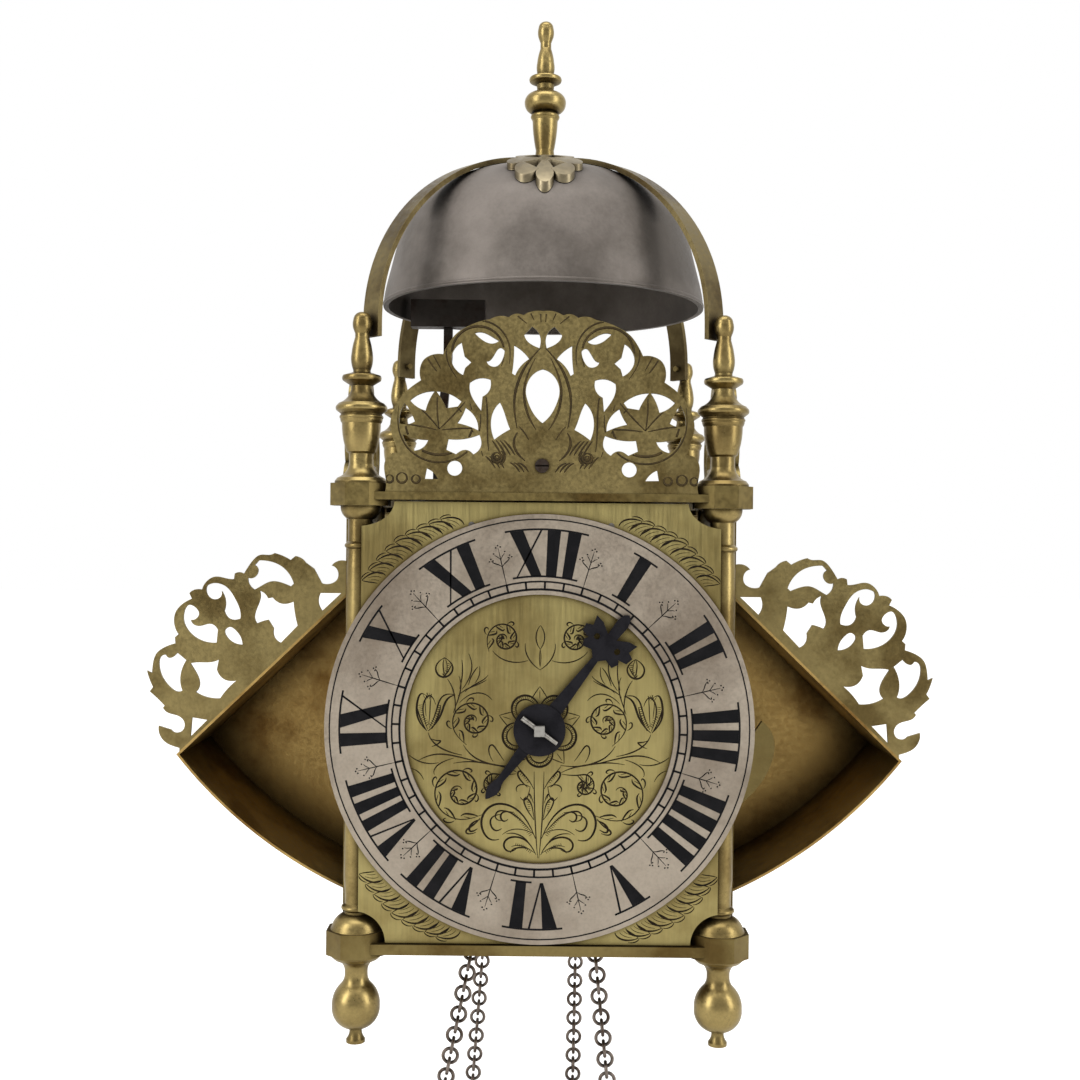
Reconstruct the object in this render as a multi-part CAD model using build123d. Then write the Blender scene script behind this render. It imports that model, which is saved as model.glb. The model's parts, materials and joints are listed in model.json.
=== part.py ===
from build123d import *
import math
import os

# Winged lantern clock: a brass frame of plates and turned pillars with two weight-driven
# trains, a centre pendulum that swings in side wings, and a bell under a four-legged strap.
#
# Millimetres.  X runs to the right of someone facing the dial, Y away from them, Z up.
# The shapes are laid out from the ball feet (Z = 0) and the middle of the plates (X = Y = 0),
# and written out about the middle of the hanging hoop, which is the part's origin.

# ------------------------------------------------------------------ driving dimensions
# frame
pillar_spacing = 142.0
pillar_radius = 5.2
astragal_rise = 0.9
pillar_length = 165.5
foot_height = 35.2
boss_width = 22.5
bottom_boss_height = 9.5
top_boss_height = 8.7
bottom_plate_thickness = 4.0
top_plate_thickness = 3.0
bottom_plate_lift = 1.6
top_plate_lift = 2.3
plate_overhang = 9.5
stud_radius = 3.0
stud_length = 4.2
# clearances
bore_gap = 0.05
dial_gap = 0.3
sheet_gap = 0.8
open_gap = 0.4
# dial
dial_thickness = 1.7
dial_side_inset = 1.5
dial_edge_gap = 0.7
dial_centre_lift = 83.6
ring_radius = 83.0
ring_hole_radius = 52.0
ring_thickness = 1.6
hand_thickness = 1.4
hand_boss_radius = 10.0
hand_length = 56.0
hand_tail = 33.6
hand_angle = 37.6
hour_arbor_radius = 2.5
hand_square = 4.0
# movement bars
bar_width = 20.0
bar_thickness = 3.0
bar_tenon_width = 12.0
bar_tenon_rise = 6.0
outer_bar_inset = 18.5
middle_bar_gap = 24.0
arm_height = 11.0
detent_reach = 46.0
lift_rise = 50.0
lock_rise = 80.0
hammer_reach = 48.0
hammer_rise = 66.0
# trains
great_lift = 43.2
great_teeth = 60
great_module = 1.2
great_pinion_leaves = 6
hour_teeth = 72
report_leaves = 6
second_teeth = 42
second_module = 1.0
contrate_pinion_leaves = 7
contrate_teeth = 37
contrate_radius = 14.5
crown_pinion_leaves = 7
crown_teeth = 15
crown_radius = 12.0
hoop_teeth = 54
hoop_module = 0.9
warning_pinion_leaves = 6
warning_teeth = 48
warning_module = 0.8
fly_pinion_leaves = 6
count_teeth = 78
count_pinion_leaves = 10
count_module = 0.6
wheel_thickness = 2.0
arbor_radius = 1.6
pivot_radius = 1.0
great_arbor_radius = 2.4
great_pivot_radius = 1.6
second_offset = 6.0
# pendulum
verge_drop = 15.5
verge_radius = 1.2
pallet_reach = 5.5
bob_floor_gap = 5.2
bob_point = 3.0
fluke_rise = 21.3
fluke_overhang = 13.7
rest_tilt = 4.8
bob_thickness = 3.0
# chains
link_radius = 3.0
link_wire = 0.7
link_pitch = 4.4
sprocket_spikes = 15
chain_hang = 96.8
# doors and wings
door_thickness = 1.2
door_hinge_setback = 57.0
door_rod_radius = 1.4
door_pin_radius = 1.0
wing_depth = 56.0
wing_wall = 1.0
wing_root_drop = 34.4
wing_root_lift = 6.2
wing_length = 75.8
wing_roof_fall = 73.1
wing_floor_bow = 5.9
wing_fret_thickness = 1.2
# top works
fret_thickness = 1.6
bell_radius = 70.7
bell_rim_lift = 16.4
bell_rise = 60.4
bell_wall = 2.2
saddle_thickness = 2.0
strap_width = 9.5
strap_thickness = 2.0
strap_gap = 0.2
strap_foot_drop = 5.5
strap_spring_lift = 0.5
peg_lift = 63.6
finial_knob_radius = 3.5
finial_knob_bow = 0.3
bolt_radius = 3.0
# back
back_plate_thickness = 1.2
hoop_radius = 9.0
hoop_band = 3.5
hoop_height = 3.0
spur_length = 15.0

# ------------------------------------------------------------------ worked-out places
pillar_half = pillar_spacing / 2
plate_half = pillar_half + plate_overhang
plate_side = 2 * plate_half
bottom_boss_z0 = foot_height
bottom_boss_z1 = foot_height + bottom_boss_height
bottom_plate_z0 = bottom_boss_z0 + bottom_plate_lift
bottom_plate_z1 = bottom_plate_z0 + bottom_plate_thickness
top_boss_z0 = bottom_boss_z1 + pillar_length
top_boss_z1 = top_boss_z0 + top_boss_height
top_plate_z0 = top_boss_z0 + top_plate_lift
top_plate_z1 = top_plate_z0 + top_plate_thickness
dial_centre_height = bottom_plate_z1 + dial_centre_lift
great_height = bottom_plate_z1 + great_lift
verge_height = top_plate_z0 - verge_drop
chain_low_end = bottom_plate_z0 - chain_hang

dial_back_y = -(pillar_half + pillar_radius + astragal_rise + dial_gap)
dial_front_y = dial_back_y - dial_thickness
dial_width = pillar_spacing - 2 * dial_side_inset
ring_front_y = dial_front_y - ring_thickness

front_bar_y = -(plate_half - outer_bar_inset)
going_back_bar_y = -(middle_bar_gap / 2 + bar_thickness)
strike_front_bar_y = middle_bar_gap / 2
back_bar_y = plate_half - outer_bar_inset - bar_thickness
going_front_face = front_bar_y + bar_thickness
going_back_face = going_back_bar_y
strike_front_face = strike_front_bar_y + bar_thickness
strike_back_face = back_bar_y

train_distance = great_module * (great_teeth + great_pinion_leaves) / 2
train_rise = math.sqrt(train_distance**2 - second_offset**2)
motion_module = 2 * (dial_centre_height - great_height) / (hour_teeth + report_leaves)

link_outer = link_radius + link_wire
chain_radius = sprocket_spikes * 2 * link_pitch / (2 * math.pi)
hoop_centre_y = plate_half + hoop_radius + hoop_band
hoop_centre_z = top_plate_z1 + hoop_height / 2
origin = Vector(0, hoop_centre_y, hoop_centre_z)

door_inner_x = pillar_half + pillar_radius + sheet_gap
door_outer_x = door_inner_x + door_thickness
door_middle_x = (door_inner_x + door_outer_x) / 2
wing_root_top = top_plate_z0 - wing_root_drop
wing_root_bottom = bottom_plate_z1 + wing_root_lift
wing_tip_reach = door_outer_x + wing_length
wing_tip_height = wing_root_top - wing_roof_fall

bob_radius = verge_height - bottom_plate_z1 - bob_floor_gap - bob_point
fluke_radius = bob_radius - fluke_rise
fluke_angle = math.degrees(math.asin((door_outer_x + fluke_overhang) / fluke_radius))

finial_reach = pillar_half * math.sqrt(2)
peg_height = top_boss_z1 + peg_lift
strap_reach = (finial_reach - finial_knob_radius - finial_knob_bow - strap_gap
               - strap_thickness / 2)
strap_foot_height = peg_height - strap_foot_drop
strap_spring_height = peg_height + strap_spring_lift
bell_rim_height = strap_spring_height + bell_rim_lift


# ------------------------------------------------------------------ helpers
def save(name, shape):
    """Write one node, moved so that the middle of the hanging hoop is the origin."""
    moved = Pos(-origin.X, -origin.Y, -origin.Z) * shape
    export_step(moved, os.path.join("parts", name + ".step"))


def solids_of(pieces):
    """Several separate solids as one node."""
    found = []
    for piece in pieces:
        found.extend(piece.solids())
    return Compound(found)


def block(x0, x1, y0, y1, z0, z1):
    """Box between two corners."""
    middle = Pos((x0 + x1) / 2, (y0 + y1) / 2, (z0 + z1) / 2)
    return middle * Box(x1 - x0, y1 - y0, z1 - z0)


def rod_z(x, y, radius, z0, z1):
    """Upright round rod."""
    return Pos(x, y, (z0 + z1) / 2) * Cylinder(radius, z1 - z0)


def rod_y(x, z, radius, y0, y1):
    """Round rod from front to back."""
    return Pos(x, (y0 + y1) / 2, z) * Rot(90, 0, 0) * Cylinder(radius, y1 - y0)


def sheet_y(sketch, y0, y1):
    """Sheet parallel to the dial, cut to a sketch drawn as seen from the front."""
    return extrude(Pos(0, y1, 0) * (Plane.XZ * sketch), amount=y1 - y0)


def turned(points):
    """Round turning about Z through (radius, height) points, from the bottom up.
    A third number bows the run that ends at its point outwards by that much."""
    edges = []
    last = points[0]
    for point in points[1:]:
        start = (last[0], 0, last[1])
        end = (point[0], 0, point[1])
        bow = point[2] if len(point) > 2 else 0
        if bow:
            run = math.dist(start, end)
            middle_r = (last[0] + point[0]) / 2 + bow * (point[1] - last[1]) / run
            middle_z = (last[1] + point[1]) / 2 - bow * (point[0] - last[0]) / run
            edges.append(ThreePointArc(start, (middle_r, 0, middle_z), end))
        else:
            edges.append(Line(start, end))
        last = point
    top = (0, 0, points[-1][1])
    bottom = (0, 0, points[0][1])
    if last[0] > 0:
        edges.append(Line((last[0], 0, last[1]), top))
    edges.append(Line(top, bottom))
    if points[0][0] > 0:
        edges.append(Line(bottom, (points[0][0], 0, points[0][1])))
    return revolve(make_face(edges), Axis.Z)


def cut_shape(points):
    """Flat shape through points; a point with a third value is a sharp corner, and
    the others lie on smooth curves between corners."""
    corners = [i for i, point in enumerate(points) if len(point) > 2]
    flat = [(point[0], point[1]) for point in points]
    if not corners:
        return make_face(Spline(*flat, periodic=True))
    edges = []
    for k, first in enumerate(corners):
        last = corners[(k + 1) % len(corners)]
        count = (last - first) % len(points)
        if count == 0:
            count = len(points)
        run = [flat[(first + step) % len(points)] for step in range(count + 1)]
        if len(run) == 2:
            edges.append(Line(*run))
        else:
            edges.append(Spline(*run))
    return make_face(edges)


def at_corners(piece, half):
    """Four copies of a piece, at the corners of a square."""
    return [Pos(sx * half, sy * half, 0) * piece for sx in (-1, 1) for sy in (-1, 1)]


def octagon_boss(z0, z1):
    """Octagonal corner boss with a bore for the studs of what meets it."""
    face = RegularPolygon(boss_width / 2, 8, major_radius=False, rotation=22.5)
    boss = Pos(0, 0, z0) * extrude(face, amount=z1 - z0)
    return boss - rod_z(0, 0, stud_radius + bore_gap, z0 - 1, z1 + 1)


def gear_face(teeth, module, share, tip, root, tooth_angle):
    """Toothed outline; share is the tooth's part of the pitch, tip and root are in modules,
    and one tooth points along tooth_angle, in degrees from +X towards +Z."""
    pitch_radius = module * teeth / 2
    half = share * math.pi / teeth
    rows = [(pitch_radius - root * module, half * 1.15),
            (pitch_radius, half),
            (pitch_radius + tip * module * 0.6, half * 0.72),
            (pitch_radius + tip * module, half * 0.32)]
    outline = []
    for tooth in range(teeth):
        centre = math.radians(tooth_angle) + tooth * 2 * math.pi / teeth
        for radius, turn in rows:
            outline.append((radius * math.cos(centre - turn), radius * math.sin(centre - turn)))
        for radius, turn in reversed(rows):
            outline.append((radius * math.cos(centre + turn), radius * math.sin(centre + turn)))
    return make_face(Polyline(*outline, close=True))


def crossing_face(outer, inner, arm):
    """The four openings between a wheel's rim and its hub."""
    ring = Circle(outer) - Circle(inner)
    return ring - Rectangle(arm, 4 * outer) - Rectangle(4 * outer, arm)


def wheel(teeth, module, tooth_angle, bore, x, z, y0, y1):
    """Crossed-out brass wheel on an arbor that runs from front to back."""
    root_radius = module * teeth / 2 - 1.3 * module
    face = gear_face(teeth, module, 0.42, 0.85, 1.3, tooth_angle)
    face = face - crossing_face(root_radius - 2.2 * module, bore + 3.0, 3.2 * module)
    if bore > 0:
        face = face - Circle(bore)
    return sheet_y(Pos(x, z) * face, y0, y1)


def pinion(leaves, module, leaf_angle, x, z, y0, y1):
    """Small steel pinion; its leaves point half a pitch away from leaf_angle."""
    gap_centre = leaf_angle + 180 / leaves
    face = gear_face(leaves, module, 0.32, 0.6, 1.3, gap_centre)
    return sheet_y(Pos(x, z) * face, y0, y1)


def direction(x0, z0, x1, z1):
    """Direction from one arbor to another, in degrees from +X towards +Z."""
    return math.degrees(math.atan2(z1 - z0, x1 - x0))


def pivoted_arbor(x, z, radius, pivot, y0, y1, front, back):
    """Arbor between two bar faces, with pivots that reach into the bars."""
    body = rod_y(x, z, radius, y0 + open_gap, y1 - open_gap)
    return body + rod_y(x, z, pivot, y0 - front, y1 + back)


def arm_face(x0, z0, x1, z1, half0, half1):
    """Flat tapered lever from a round hub to its tip."""
    run = math.dist((x0, z0), (x1, z1))
    across_x = -(z1 - z0) / run
    across_z = (x1 - x0) / run
    side = Polyline((x0 + across_x * half0, z0 + across_z * half0),
                    (x1 + across_x * half1, z1 + across_z * half1),
                    (x1 - across_x * half1, z1 - across_z * half1),
                    (x0 - across_x * half0, z0 - across_z * half0), close=True)
    return make_face(side) + Pos(x0, z0) * Circle(half0 + 0.6) + Pos(x1, z1) * Circle(half1)


# ------------------------------------------------------------------ arbors of the trains
second_x = second_offset
second_z = great_height + train_rise
contrate_distance = second_module * (second_teeth + contrate_pinion_leaves) / 2
contrate_x = 0.0
contrate_z = second_z + math.sqrt(contrate_distance**2 - (second_x - contrate_x)**2)
hoop_x = -second_offset
hoop_z = great_height + train_rise
warning_x = 2.0
warning_distance = hoop_module * (hoop_teeth + warning_pinion_leaves) / 2
warning_z = hoop_z + math.sqrt(warning_distance**2 - (warning_x - hoop_x)**2)
fly_x = -3.0
fly_distance = warning_module * (warning_teeth + fly_pinion_leaves) / 2
fly_z = warning_z + math.sqrt(fly_distance**2 - (fly_x - warning_x)**2)
count_z = great_height + count_module * (count_teeth + count_pinion_leaves) / 2
lift_z = great_height + lift_rise
lock_z = great_height + lock_rise
hammer_z = great_height + hammer_rise
crown_y = (going_front_face + going_back_face) / 2
verge_back_y = middle_bar_gap / 2 - 4.0


# ------------------------------------------------------------------ plates, pillars, feet
chain_slot_half = link_outer + 1.2
going_chain_y = crown_y
strike_chain_y = (strike_front_face + strike_back_face) / 2
bar_ys = (front_bar_y, going_back_bar_y, strike_front_bar_y, back_bar_y)

# where each chain passes the bottom plate and where it hangs to, left and right of centre
going_chain_run = {"left": (-24.5, -44.0), "right": (22.5, 33.0)}
strike_chain_run = {"left": (-23.0, -30.0), "right": (18.6, 17.3)}


def tenon_slots(z0, z1):
    """Slots in a plate for the tenons of the four movement bars."""
    half = bar_tenon_width / 2 + bore_gap
    return [block(-half, half, y - bore_gap, y + bar_thickness + bore_gap, z0 - 1, z1 + 1)
            for y in bar_ys]


def door_pin_holes(z0, z1):
    """Holes in a plate for the pins of the two side doors."""
    return [rod_z(side * door_middle_x, door_hinge_setback, door_pin_radius + bore_gap,
                  z0 - 1, z1 + 1) for side in (-1, 1)]


def plate_blank(z0, z1, boss_z0, boss_z1):
    """Square plate with an octagonal boss cast on each corner."""
    reach = boss_width
    outline = Rectangle(plate_side, plate_side)
    quadrant = Rectangle(reach, reach)
    for sx in (-1, 1):
        for sy in (-1, 1):
            middle = pillar_half + reach / 2
            outline = outline - Pos(sx * middle, sy * middle) * quadrant
            octagon = RegularPolygon(boss_width / 2, 8, major_radius=False, rotation=22.5)
            outline = outline + Pos(sx * pillar_half, sy * pillar_half) * octagon
    blank = extrude(Pos(0, 0, z0) * outline, amount=z1 - z0)
    blank = blank + at_corners(octagon_boss(boss_z0, boss_z1), pillar_half)
    return blank - at_corners(rod_z(0, 0, stud_radius + bore_gap, boss_z0 - 1, boss_z1 + 1),
                              pillar_half)


def chain_slots():
    """Slots in the bottom plate that the four chain strands hang through."""
    slots = []
    for chain_y, run in ((going_chain_y, going_chain_run), (strike_chain_y, strike_chain_run)):
        for side in ("left", "right"):
            x = run[side][0]
            slots.append(block(x - chain_slot_half, x + chain_slot_half,
                               chain_y - chain_slot_half, chain_y + chain_slot_half,
                               bottom_plate_z0 - 1, bottom_plate_z1 + 1))
    return slots


def make_bottom_plate():
    plate = plate_blank(bottom_plate_z0, bottom_plate_z1, bottom_boss_z0, bottom_boss_z1)
    plate = plate - tenon_slots(bottom_plate_z0, bottom_plate_z1)
    plate = plate - door_pin_holes(bottom_plate_z0, bottom_plate_z1)
    return plate - chain_slots()


tang_rivet_x = 4.0
tang_rivet_y = plate_half - 5.0
tang_rivet_radius = 1.5
hammer_slot_y0 = strike_front_face + 5.0
hammer_blade = 4.0
hammer_swing = 10.0
lug_height = 14.0
lug_width = 14.0
lug_depth = 4.0
fret_screw_radius = 1.5
fret_screw_height = 10.5
fret_front_y = -(plate_half - 0.4)
fret_back_y = fret_front_y + fret_thickness


def fret_lug():
    """Upright lug behind a fret, with the hole of the fret's screw."""
    lug = block(-lug_width / 2, lug_width / 2, fret_back_y, fret_back_y + lug_depth,
                top_plate_z0 + 1, top_plate_z1 + lug_height)
    return lug - rod_y(0, top_plate_z1 + fret_screw_height, fret_screw_radius + bore_gap,
                       fret_front_y - 1, fret_back_y + lug_depth + 1)


def make_top_plate():
    plate = plate_blank(top_plate_z0, top_plate_z1, top_boss_z0, top_boss_z1)
    plate = plate + [Rot(0, 0, turn) * fret_lug() for turn in (0, 90, -90)]
    plate = plate - tenon_slots(top_plate_z0, top_plate_z1)
    plate = plate - door_pin_holes(top_plate_z0, top_plate_z1)
    slot_rise = top_plate_z1 - hammer_z
    slot_run = slot_rise * math.tan(math.radians(hammer_swing + 2))
    plate = plate - block(-hammer_reach - hammer_blade, -hammer_reach + hammer_blade + slot_run,
                          hammer_slot_y0 - 2, hammer_slot_y0 + hammer_blade + 2,
                          top_plate_z0 - 1, top_plate_z1 + 1)
    return plate - [rod_z(side * tang_rivet_x, tang_rivet_y, tang_rivet_radius + bore_gap,
                          top_plate_z0 - 1, top_plate_z1 + 1) for side in (-1, 1)]


def make_pillars():
    """Turned pillars: domed foot, astragal, plain shaft, astragal and cup capital."""
    z0 = bottom_boss_z1
    z1 = top_boss_z0
    r = pillar_radius
    ring = r + astragal_rise - 0.4
    pillar = turned([(stud_radius, z0 - stud_length), (stud_radius, z0), (r + 5.0, z0),
                     (r + 4.4, z0 + 1.2), (r - 0.4, z0 + 6.0, 0.9), (r - 0.4, z0 + 6.8),
                     (ring, z0 + 7.4), (ring, z0 + 9.0, 0.4), (r - 0.5, z0 + 9.8),
                     (r - 0.5, z0 + 13.0), (r, z0 + 20.0), (r, z1 - 24.0),
                     (r - 0.3, z1 - 17.0), (ring, z1 - 16.4), (ring, z1 - 14.8, 0.4),
                     (r - 0.4, z1 - 14.0), (r - 0.4, z1 - 5.4), (r + 0.5, z1 - 4.8),
                     (r + 2.6, z1 - 0.8, 0.5), (r + 2.6, z1), (stud_radius, z1),
                     (stud_radius, z1 + stud_length)])
    return at_corners(pillar, pillar_half)


def make_feet():
    """Onion-shaped ball feet on a small peg."""
    z1 = bottom_boss_z0
    foot = turned([(3.7, 0), (3.7, 1.2), (2.5, 5.4, -0.5), (9.4, 14.4, 2.2),
                   (6.4, 22.4, 0.9), (4.5, 26.6, -0.5), (4.5, 27.6), (8.8, z1 - 2.2, -1.3),
                   (10.2, z1 - 0.8), (10.2, z1), (stud_radius, z1),
                   (stud_radius, z1 + stud_length)])
    return at_corners(foot, pillar_half)


peg_radius = 1.3
peg_grip = 2.0


def make_corner_finials():
    """Urn finials; a peg on each tip reaches inwards through the foot of the bell strap."""
    z = top_boss_z1
    finial = turned([(stud_radius, z - stud_length), (stud_radius, z), (10.2, z), (10.2, z + 0.9),
                     (9.2, z + 2.2), (4.7, z + 7.6, -1.0), (4.7, z + 11.6), (5.7, z + 12.4),
                     (7.6, z + 23.5, 0.5), (8.3, z + 25.4, 0.2), (8.3, z + 26.6, 0.3),
                     (8.0, z + 27.2), (9.8, z + 28.6), (9.8, z + 30.4, 0.3),
                     (8.9, z + 31.4), (4.1, z + 37.0, -1.0), (4.1, z + 38.2), (7.4, z + 40.3),
                     (7.4, z + 42.3, 0.3), (3.4, z + 43.6), (3.4, z + 44.4),
                     (4.3, z + 49.8, 0.3), (2.8, z + 57.4, 0.2), (2.8, z + 58.8),
                     (finial_knob_radius, z + 60.6), (finial_knob_radius, z + 64.4, finial_knob_bow),
                     (1.2, z + 67.2, 0.6), (0, z + 67.3)])
    peg_end = finial_reach - (strap_reach - strap_thickness / 2 - peg_grip)
    finials = []
    for sx in (-1, 1):
        for sy in (-1, 1):
            inward = math.degrees(math.atan2(-sy, -sx))
            peg = Rot(0, 90, 0) * Pos(0, 0, peg_end / 2) * Cylinder(peg_radius, peg_end)
            piece = finial + Pos(0, 0, peg_height) * Rot(0, 0, inward) * peg
            finials.append(Pos(sx * pillar_half, sy * pillar_half, 0) * piece)
    return finials


# ------------------------------------------------------------------ movement bars
def bar(y, arms, holes):
    """Upright bar with tenons in both plates; arms are (reach, height), holes are
    (x, z, radius)."""
    y1 = y + bar_thickness
    half = bar_width / 2
    tenon = bar_tenon_width / 2
    piece = block(-half, half, y, y1, bottom_plate_z1, top_plate_z0)
    piece = piece + block(-tenon, tenon, y, y1, bottom_plate_z0, top_plate_z1 + bar_tenon_rise)
    for reach, z in arms:
        end = reach + math.copysign(arm_height / 2, reach)
        piece = piece + block(min(0, end), max(0, end), y, y1, z - arm_height / 2,
                              z + arm_height / 2)
    piece = piece - block(-tenon / 2, tenon / 2, y - 1, y1 + 1, top_plate_z1,
                          top_plate_z1 + wedge_height + bore_gap)
    for x, z, radius in holes:
        piece = piece - rod_y(x, z, radius + bore_gap, y - 1, y1 + 1)
    return piece


wedge_height = 2.4


def make_bars():
    going = [(0, great_height, great_pivot_radius), (second_x, second_z, pivot_radius),
             (contrate_x, contrate_z, pivot_radius)]
    front_holes = going + [
                   (0, dial_centre_height, great_pivot_radius),
                   (detent_reach, lift_z, pivot_radius)]
    strike = [(0, great_height, great_pivot_radius), (hoop_x, hoop_z, pivot_radius),
              (warning_x, warning_z, pivot_radius), (fly_x, fly_z, pivot_radius),
              (-hammer_reach, hammer_z, pivot_radius), (detent_reach, lock_z, pivot_radius)]
    back_holes = strike + [(0, count_z, great_pivot_radius)]
    strike_arms = [(-hammer_reach, hammer_z), (detent_reach, lock_z)]
    front = bar(front_bar_y, [(detent_reach, lift_z)], front_holes)
    middle = bar(going_back_bar_y, [], going + [(0, verge_height, verge_radius + open_gap * 2)])
    strike_front = bar(strike_front_bar_y, strike_arms + [(detent_reach, lift_z)],
                       strike + [(detent_reach, lift_z, pivot_radius)])
    back = bar(back_bar_y, strike_arms, back_holes)
    return front, middle, strike_front, back


def make_wedges():
    """Taper wedges through the bars' top tenons."""
    wedges = []
    for y in bar_ys:
        half = bar_tenon_width / 4 - bore_gap
        side = Polyline((y - 5, top_plate_z1), (y + bar_thickness + 7, top_plate_z1),
                        (y + bar_thickness + 7, top_plate_z1 + wedge_height),
                        (y - 5, top_plate_z1 + wedge_height - 0.8), close=True)
        face = Plane.YZ * make_face(side)
        wedges.append(Pos(-half, 0, 0) * extrude(face, amount=2 * half))
    return wedges


# ------------------------------------------------------------------ dial and hand
capital_cut_width = boss_width / 2 + 2.8
capital_cut_height = 9.6
foot_cut_radius = boss_width / 2 + 0.8


def make_dial_plate():
    """Front plate between the plates, cut round the pillar capitals and feet."""
    z0 = bottom_plate_z1 + dial_edge_gap / 2
    z1 = top_plate_z0 - dial_edge_gap
    middle = (z0 + z1) / 2
    face = Pos(0, middle) * Rectangle(dial_width, z1 - z0)
    corner_x = pillar_half
    for side in (-1, 1):
        face = face - Pos(side * corner_x, z1) * Ellipse(capital_cut_width, capital_cut_height)
        face = face - Pos(side * corner_x, z0) * Circle(foot_cut_radius)
    face = face - Pos(0, dial_centre_height) * Circle(hour_arbor_radius + bore_gap)
    for side in (-1, 1):
        face = face - Pos(side * latch_x, latch_z) * Circle(latch_radius + bore_gap)
    return sheet_y(face, dial_front_y, dial_back_y)


latch_x = 27.0
latch_radius = 1.2
latch_length = 9.0
latch_width = 2.6
latch_z = top_plate_z0 - latch_length - 0.5


def make_latches():
    """Turn-button latches behind the dial that hold it to the top plate."""
    latches = []
    for side in (-1, 1):
        rivet = rod_y(side * latch_x, latch_z, latch_radius, dial_front_y, dial_back_y + 2.0)
        button = block(side * latch_x - latch_width / 2, side * latch_x + latch_width / 2,
                       dial_back_y + 0.1, dial_back_y + 1.5, latch_z - latch_width / 2,
                       latch_z + latch_length)
        latches.append(rivet + button)
    return latches


def make_chapter_ring():
    """Silvered hour ring on the dial plate."""
    face = Circle(ring_radius) - Circle(ring_hole_radius)
    return sheet_y(Pos(0, dial_centre_height) * face, ring_front_y, dial_front_y)


hand_back_y = ring_front_y - 0.8
hand_front_y = hand_back_y - hand_thickness
hand_boss_front_y = hand_front_y - 0.5


hand_cross = 42.0


def hand_half(right):
    """Flat shape that is the same left and right, from its right-hand edge."""
    left = [(-x, z) for x, z in reversed(right) if x > 0]
    return make_face(Polyline(*(right + left), close=True))


def hand_outline():
    """The hand as it points to twelve, about the middle of its boss: a tapered blade with
    a pierced leafy cross near its tip, and a pointed tail."""
    z = hand_cross
    right = [(2.9, 8), (1.3, z - 7.4), (3.4, z - 5.2), (7.0, z - 6.2), (8.2, z - 3.8),
             (7.2, z - 2.2), (10.6, z - 1.6), (11.2, z + 1.4), (8.6, z + 2.6), (9.8, z + 6.4),
             (6.2, z + 5.8), (2.0, z + 3.2), (2.4, z + 10.0), (1.5, hand_length - 1.2),
             (0, hand_length)]
    tail = [(0, -hand_tail), (0.9, -hand_tail + 1), (2.4, -29.5), (1.3, -24), (2.4, -8)]
    arms = hand_half(right) + hand_half(tail)
    return arms - [Pos(side * 4.9, z) * Circle(1.2) for side in (-1, 1)]


def make_hour_hand():
    square = Rectangle(hand_square + 2 * bore_gap, hand_square + 2 * bore_gap)
    arms = Rot(0, 0, -hand_angle) * (hand_outline() - Circle(hand_boss_radius - 1))
    arms = sheet_y(Pos(0, dial_centre_height) * (arms - square), hand_front_y, hand_back_y)
    boss_face = Circle(hand_boss_radius) - square
    boss = sheet_y(Pos(0, dial_centre_height) * boss_face, hand_boss_front_y, hand_back_y + 0.3)
    return arms + boss


hour_arbor_front_y = hand_boss_front_y - 3.4
pin_radius = 0.95
pin_length = 16.6
pin_y = hand_boss_front_y - 1.3
hour_wheel_y0 = front_bar_y - 8.4


def make_hour_arbor():
    """Arbor of the hour wheel: a pivot in the front bar, and a squared end for the hand."""
    z = dial_centre_height
    arbor = rod_y(0, z, great_pivot_radius, front_bar_y - 1, front_bar_y + 2.6)
    arbor = arbor + rod_y(0, z, hour_arbor_radius, dial_front_y, front_bar_y - open_gap)
    half = hand_square / 2
    square = block(-half, half, hour_arbor_front_y, dial_front_y, z - half, z + half)
    square = square - hand_pin_blank(bore_gap)
    return arbor + square


def hand_pin_blank(grow):
    """Taper pin across the arbor's squared end."""
    z = dial_centre_height
    big = pin_radius * 1.12 + grow
    small = pin_radius * 0.82 + grow
    pin = Cone(big, small, pin_length + 4 * grow)
    return Pos(0, pin_y, z) * Rot(0, 126, 0) * pin


def make_hour_wheel():
    """Hour wheel with the twelve-pointed star that lifts the strike."""
    angle = direction(0, dial_centre_height, 0, great_height)
    bored = wheel(hour_teeth, motion_module, angle, hour_arbor_radius + bore_gap, 0,
                  dial_centre_height, hour_wheel_y0, hour_wheel_y0 + wheel_thickness)
    star = gear_face(12, 1.35, 0.36, 1.0, 1.4, 15)
    star = Pos(0, dial_centre_height) * (star - Circle(hour_arbor_radius + bore_gap))
    return bored + sheet_y(star, hour_wheel_y0 + wheel_thickness,
                           hour_wheel_y0 + wheel_thickness + 2.4)


# ------------------------------------------------------------------ going train
going_great_y0 = going_front_face + 2.5
going_second_y1 = going_back_face - 4.0


def sprocket(y):
    """Spiked chain wheel between two cheeks."""
    z = great_height
    core_radius = chain_radius - link_outer - 0.5
    cheek_gap = link_outer + 0.9
    cheek = 1.2
    piece = rod_y(0, z, core_radius, y - cheek_gap, y + cheek_gap)
    piece = piece + rod_y(0, z, chain_radius + 1.0, y - cheek_gap - cheek, y - cheek_gap)
    piece = piece + rod_y(0, z, chain_radius + 1.0, y + cheek_gap, y + cheek_gap + cheek)
    spikes = []
    for spike in range(sprocket_spikes):
        turn = 90 + spike * 360 / sprocket_spikes
        length = chain_radius + 0.8 - core_radius + 1.0
        pin = Pos(core_radius - 1.0 + length / 2, 0, 0) * Rot(0, 90, 0) * Cylinder(0.5, length)
        spikes.append(Pos(0, y, z) * Rot(0, -turn, 0) * pin)
    piece = piece + spikes
    return piece - rod_y(0, z, great_arbor_radius + bore_gap, y - 9, y + 9)


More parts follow.
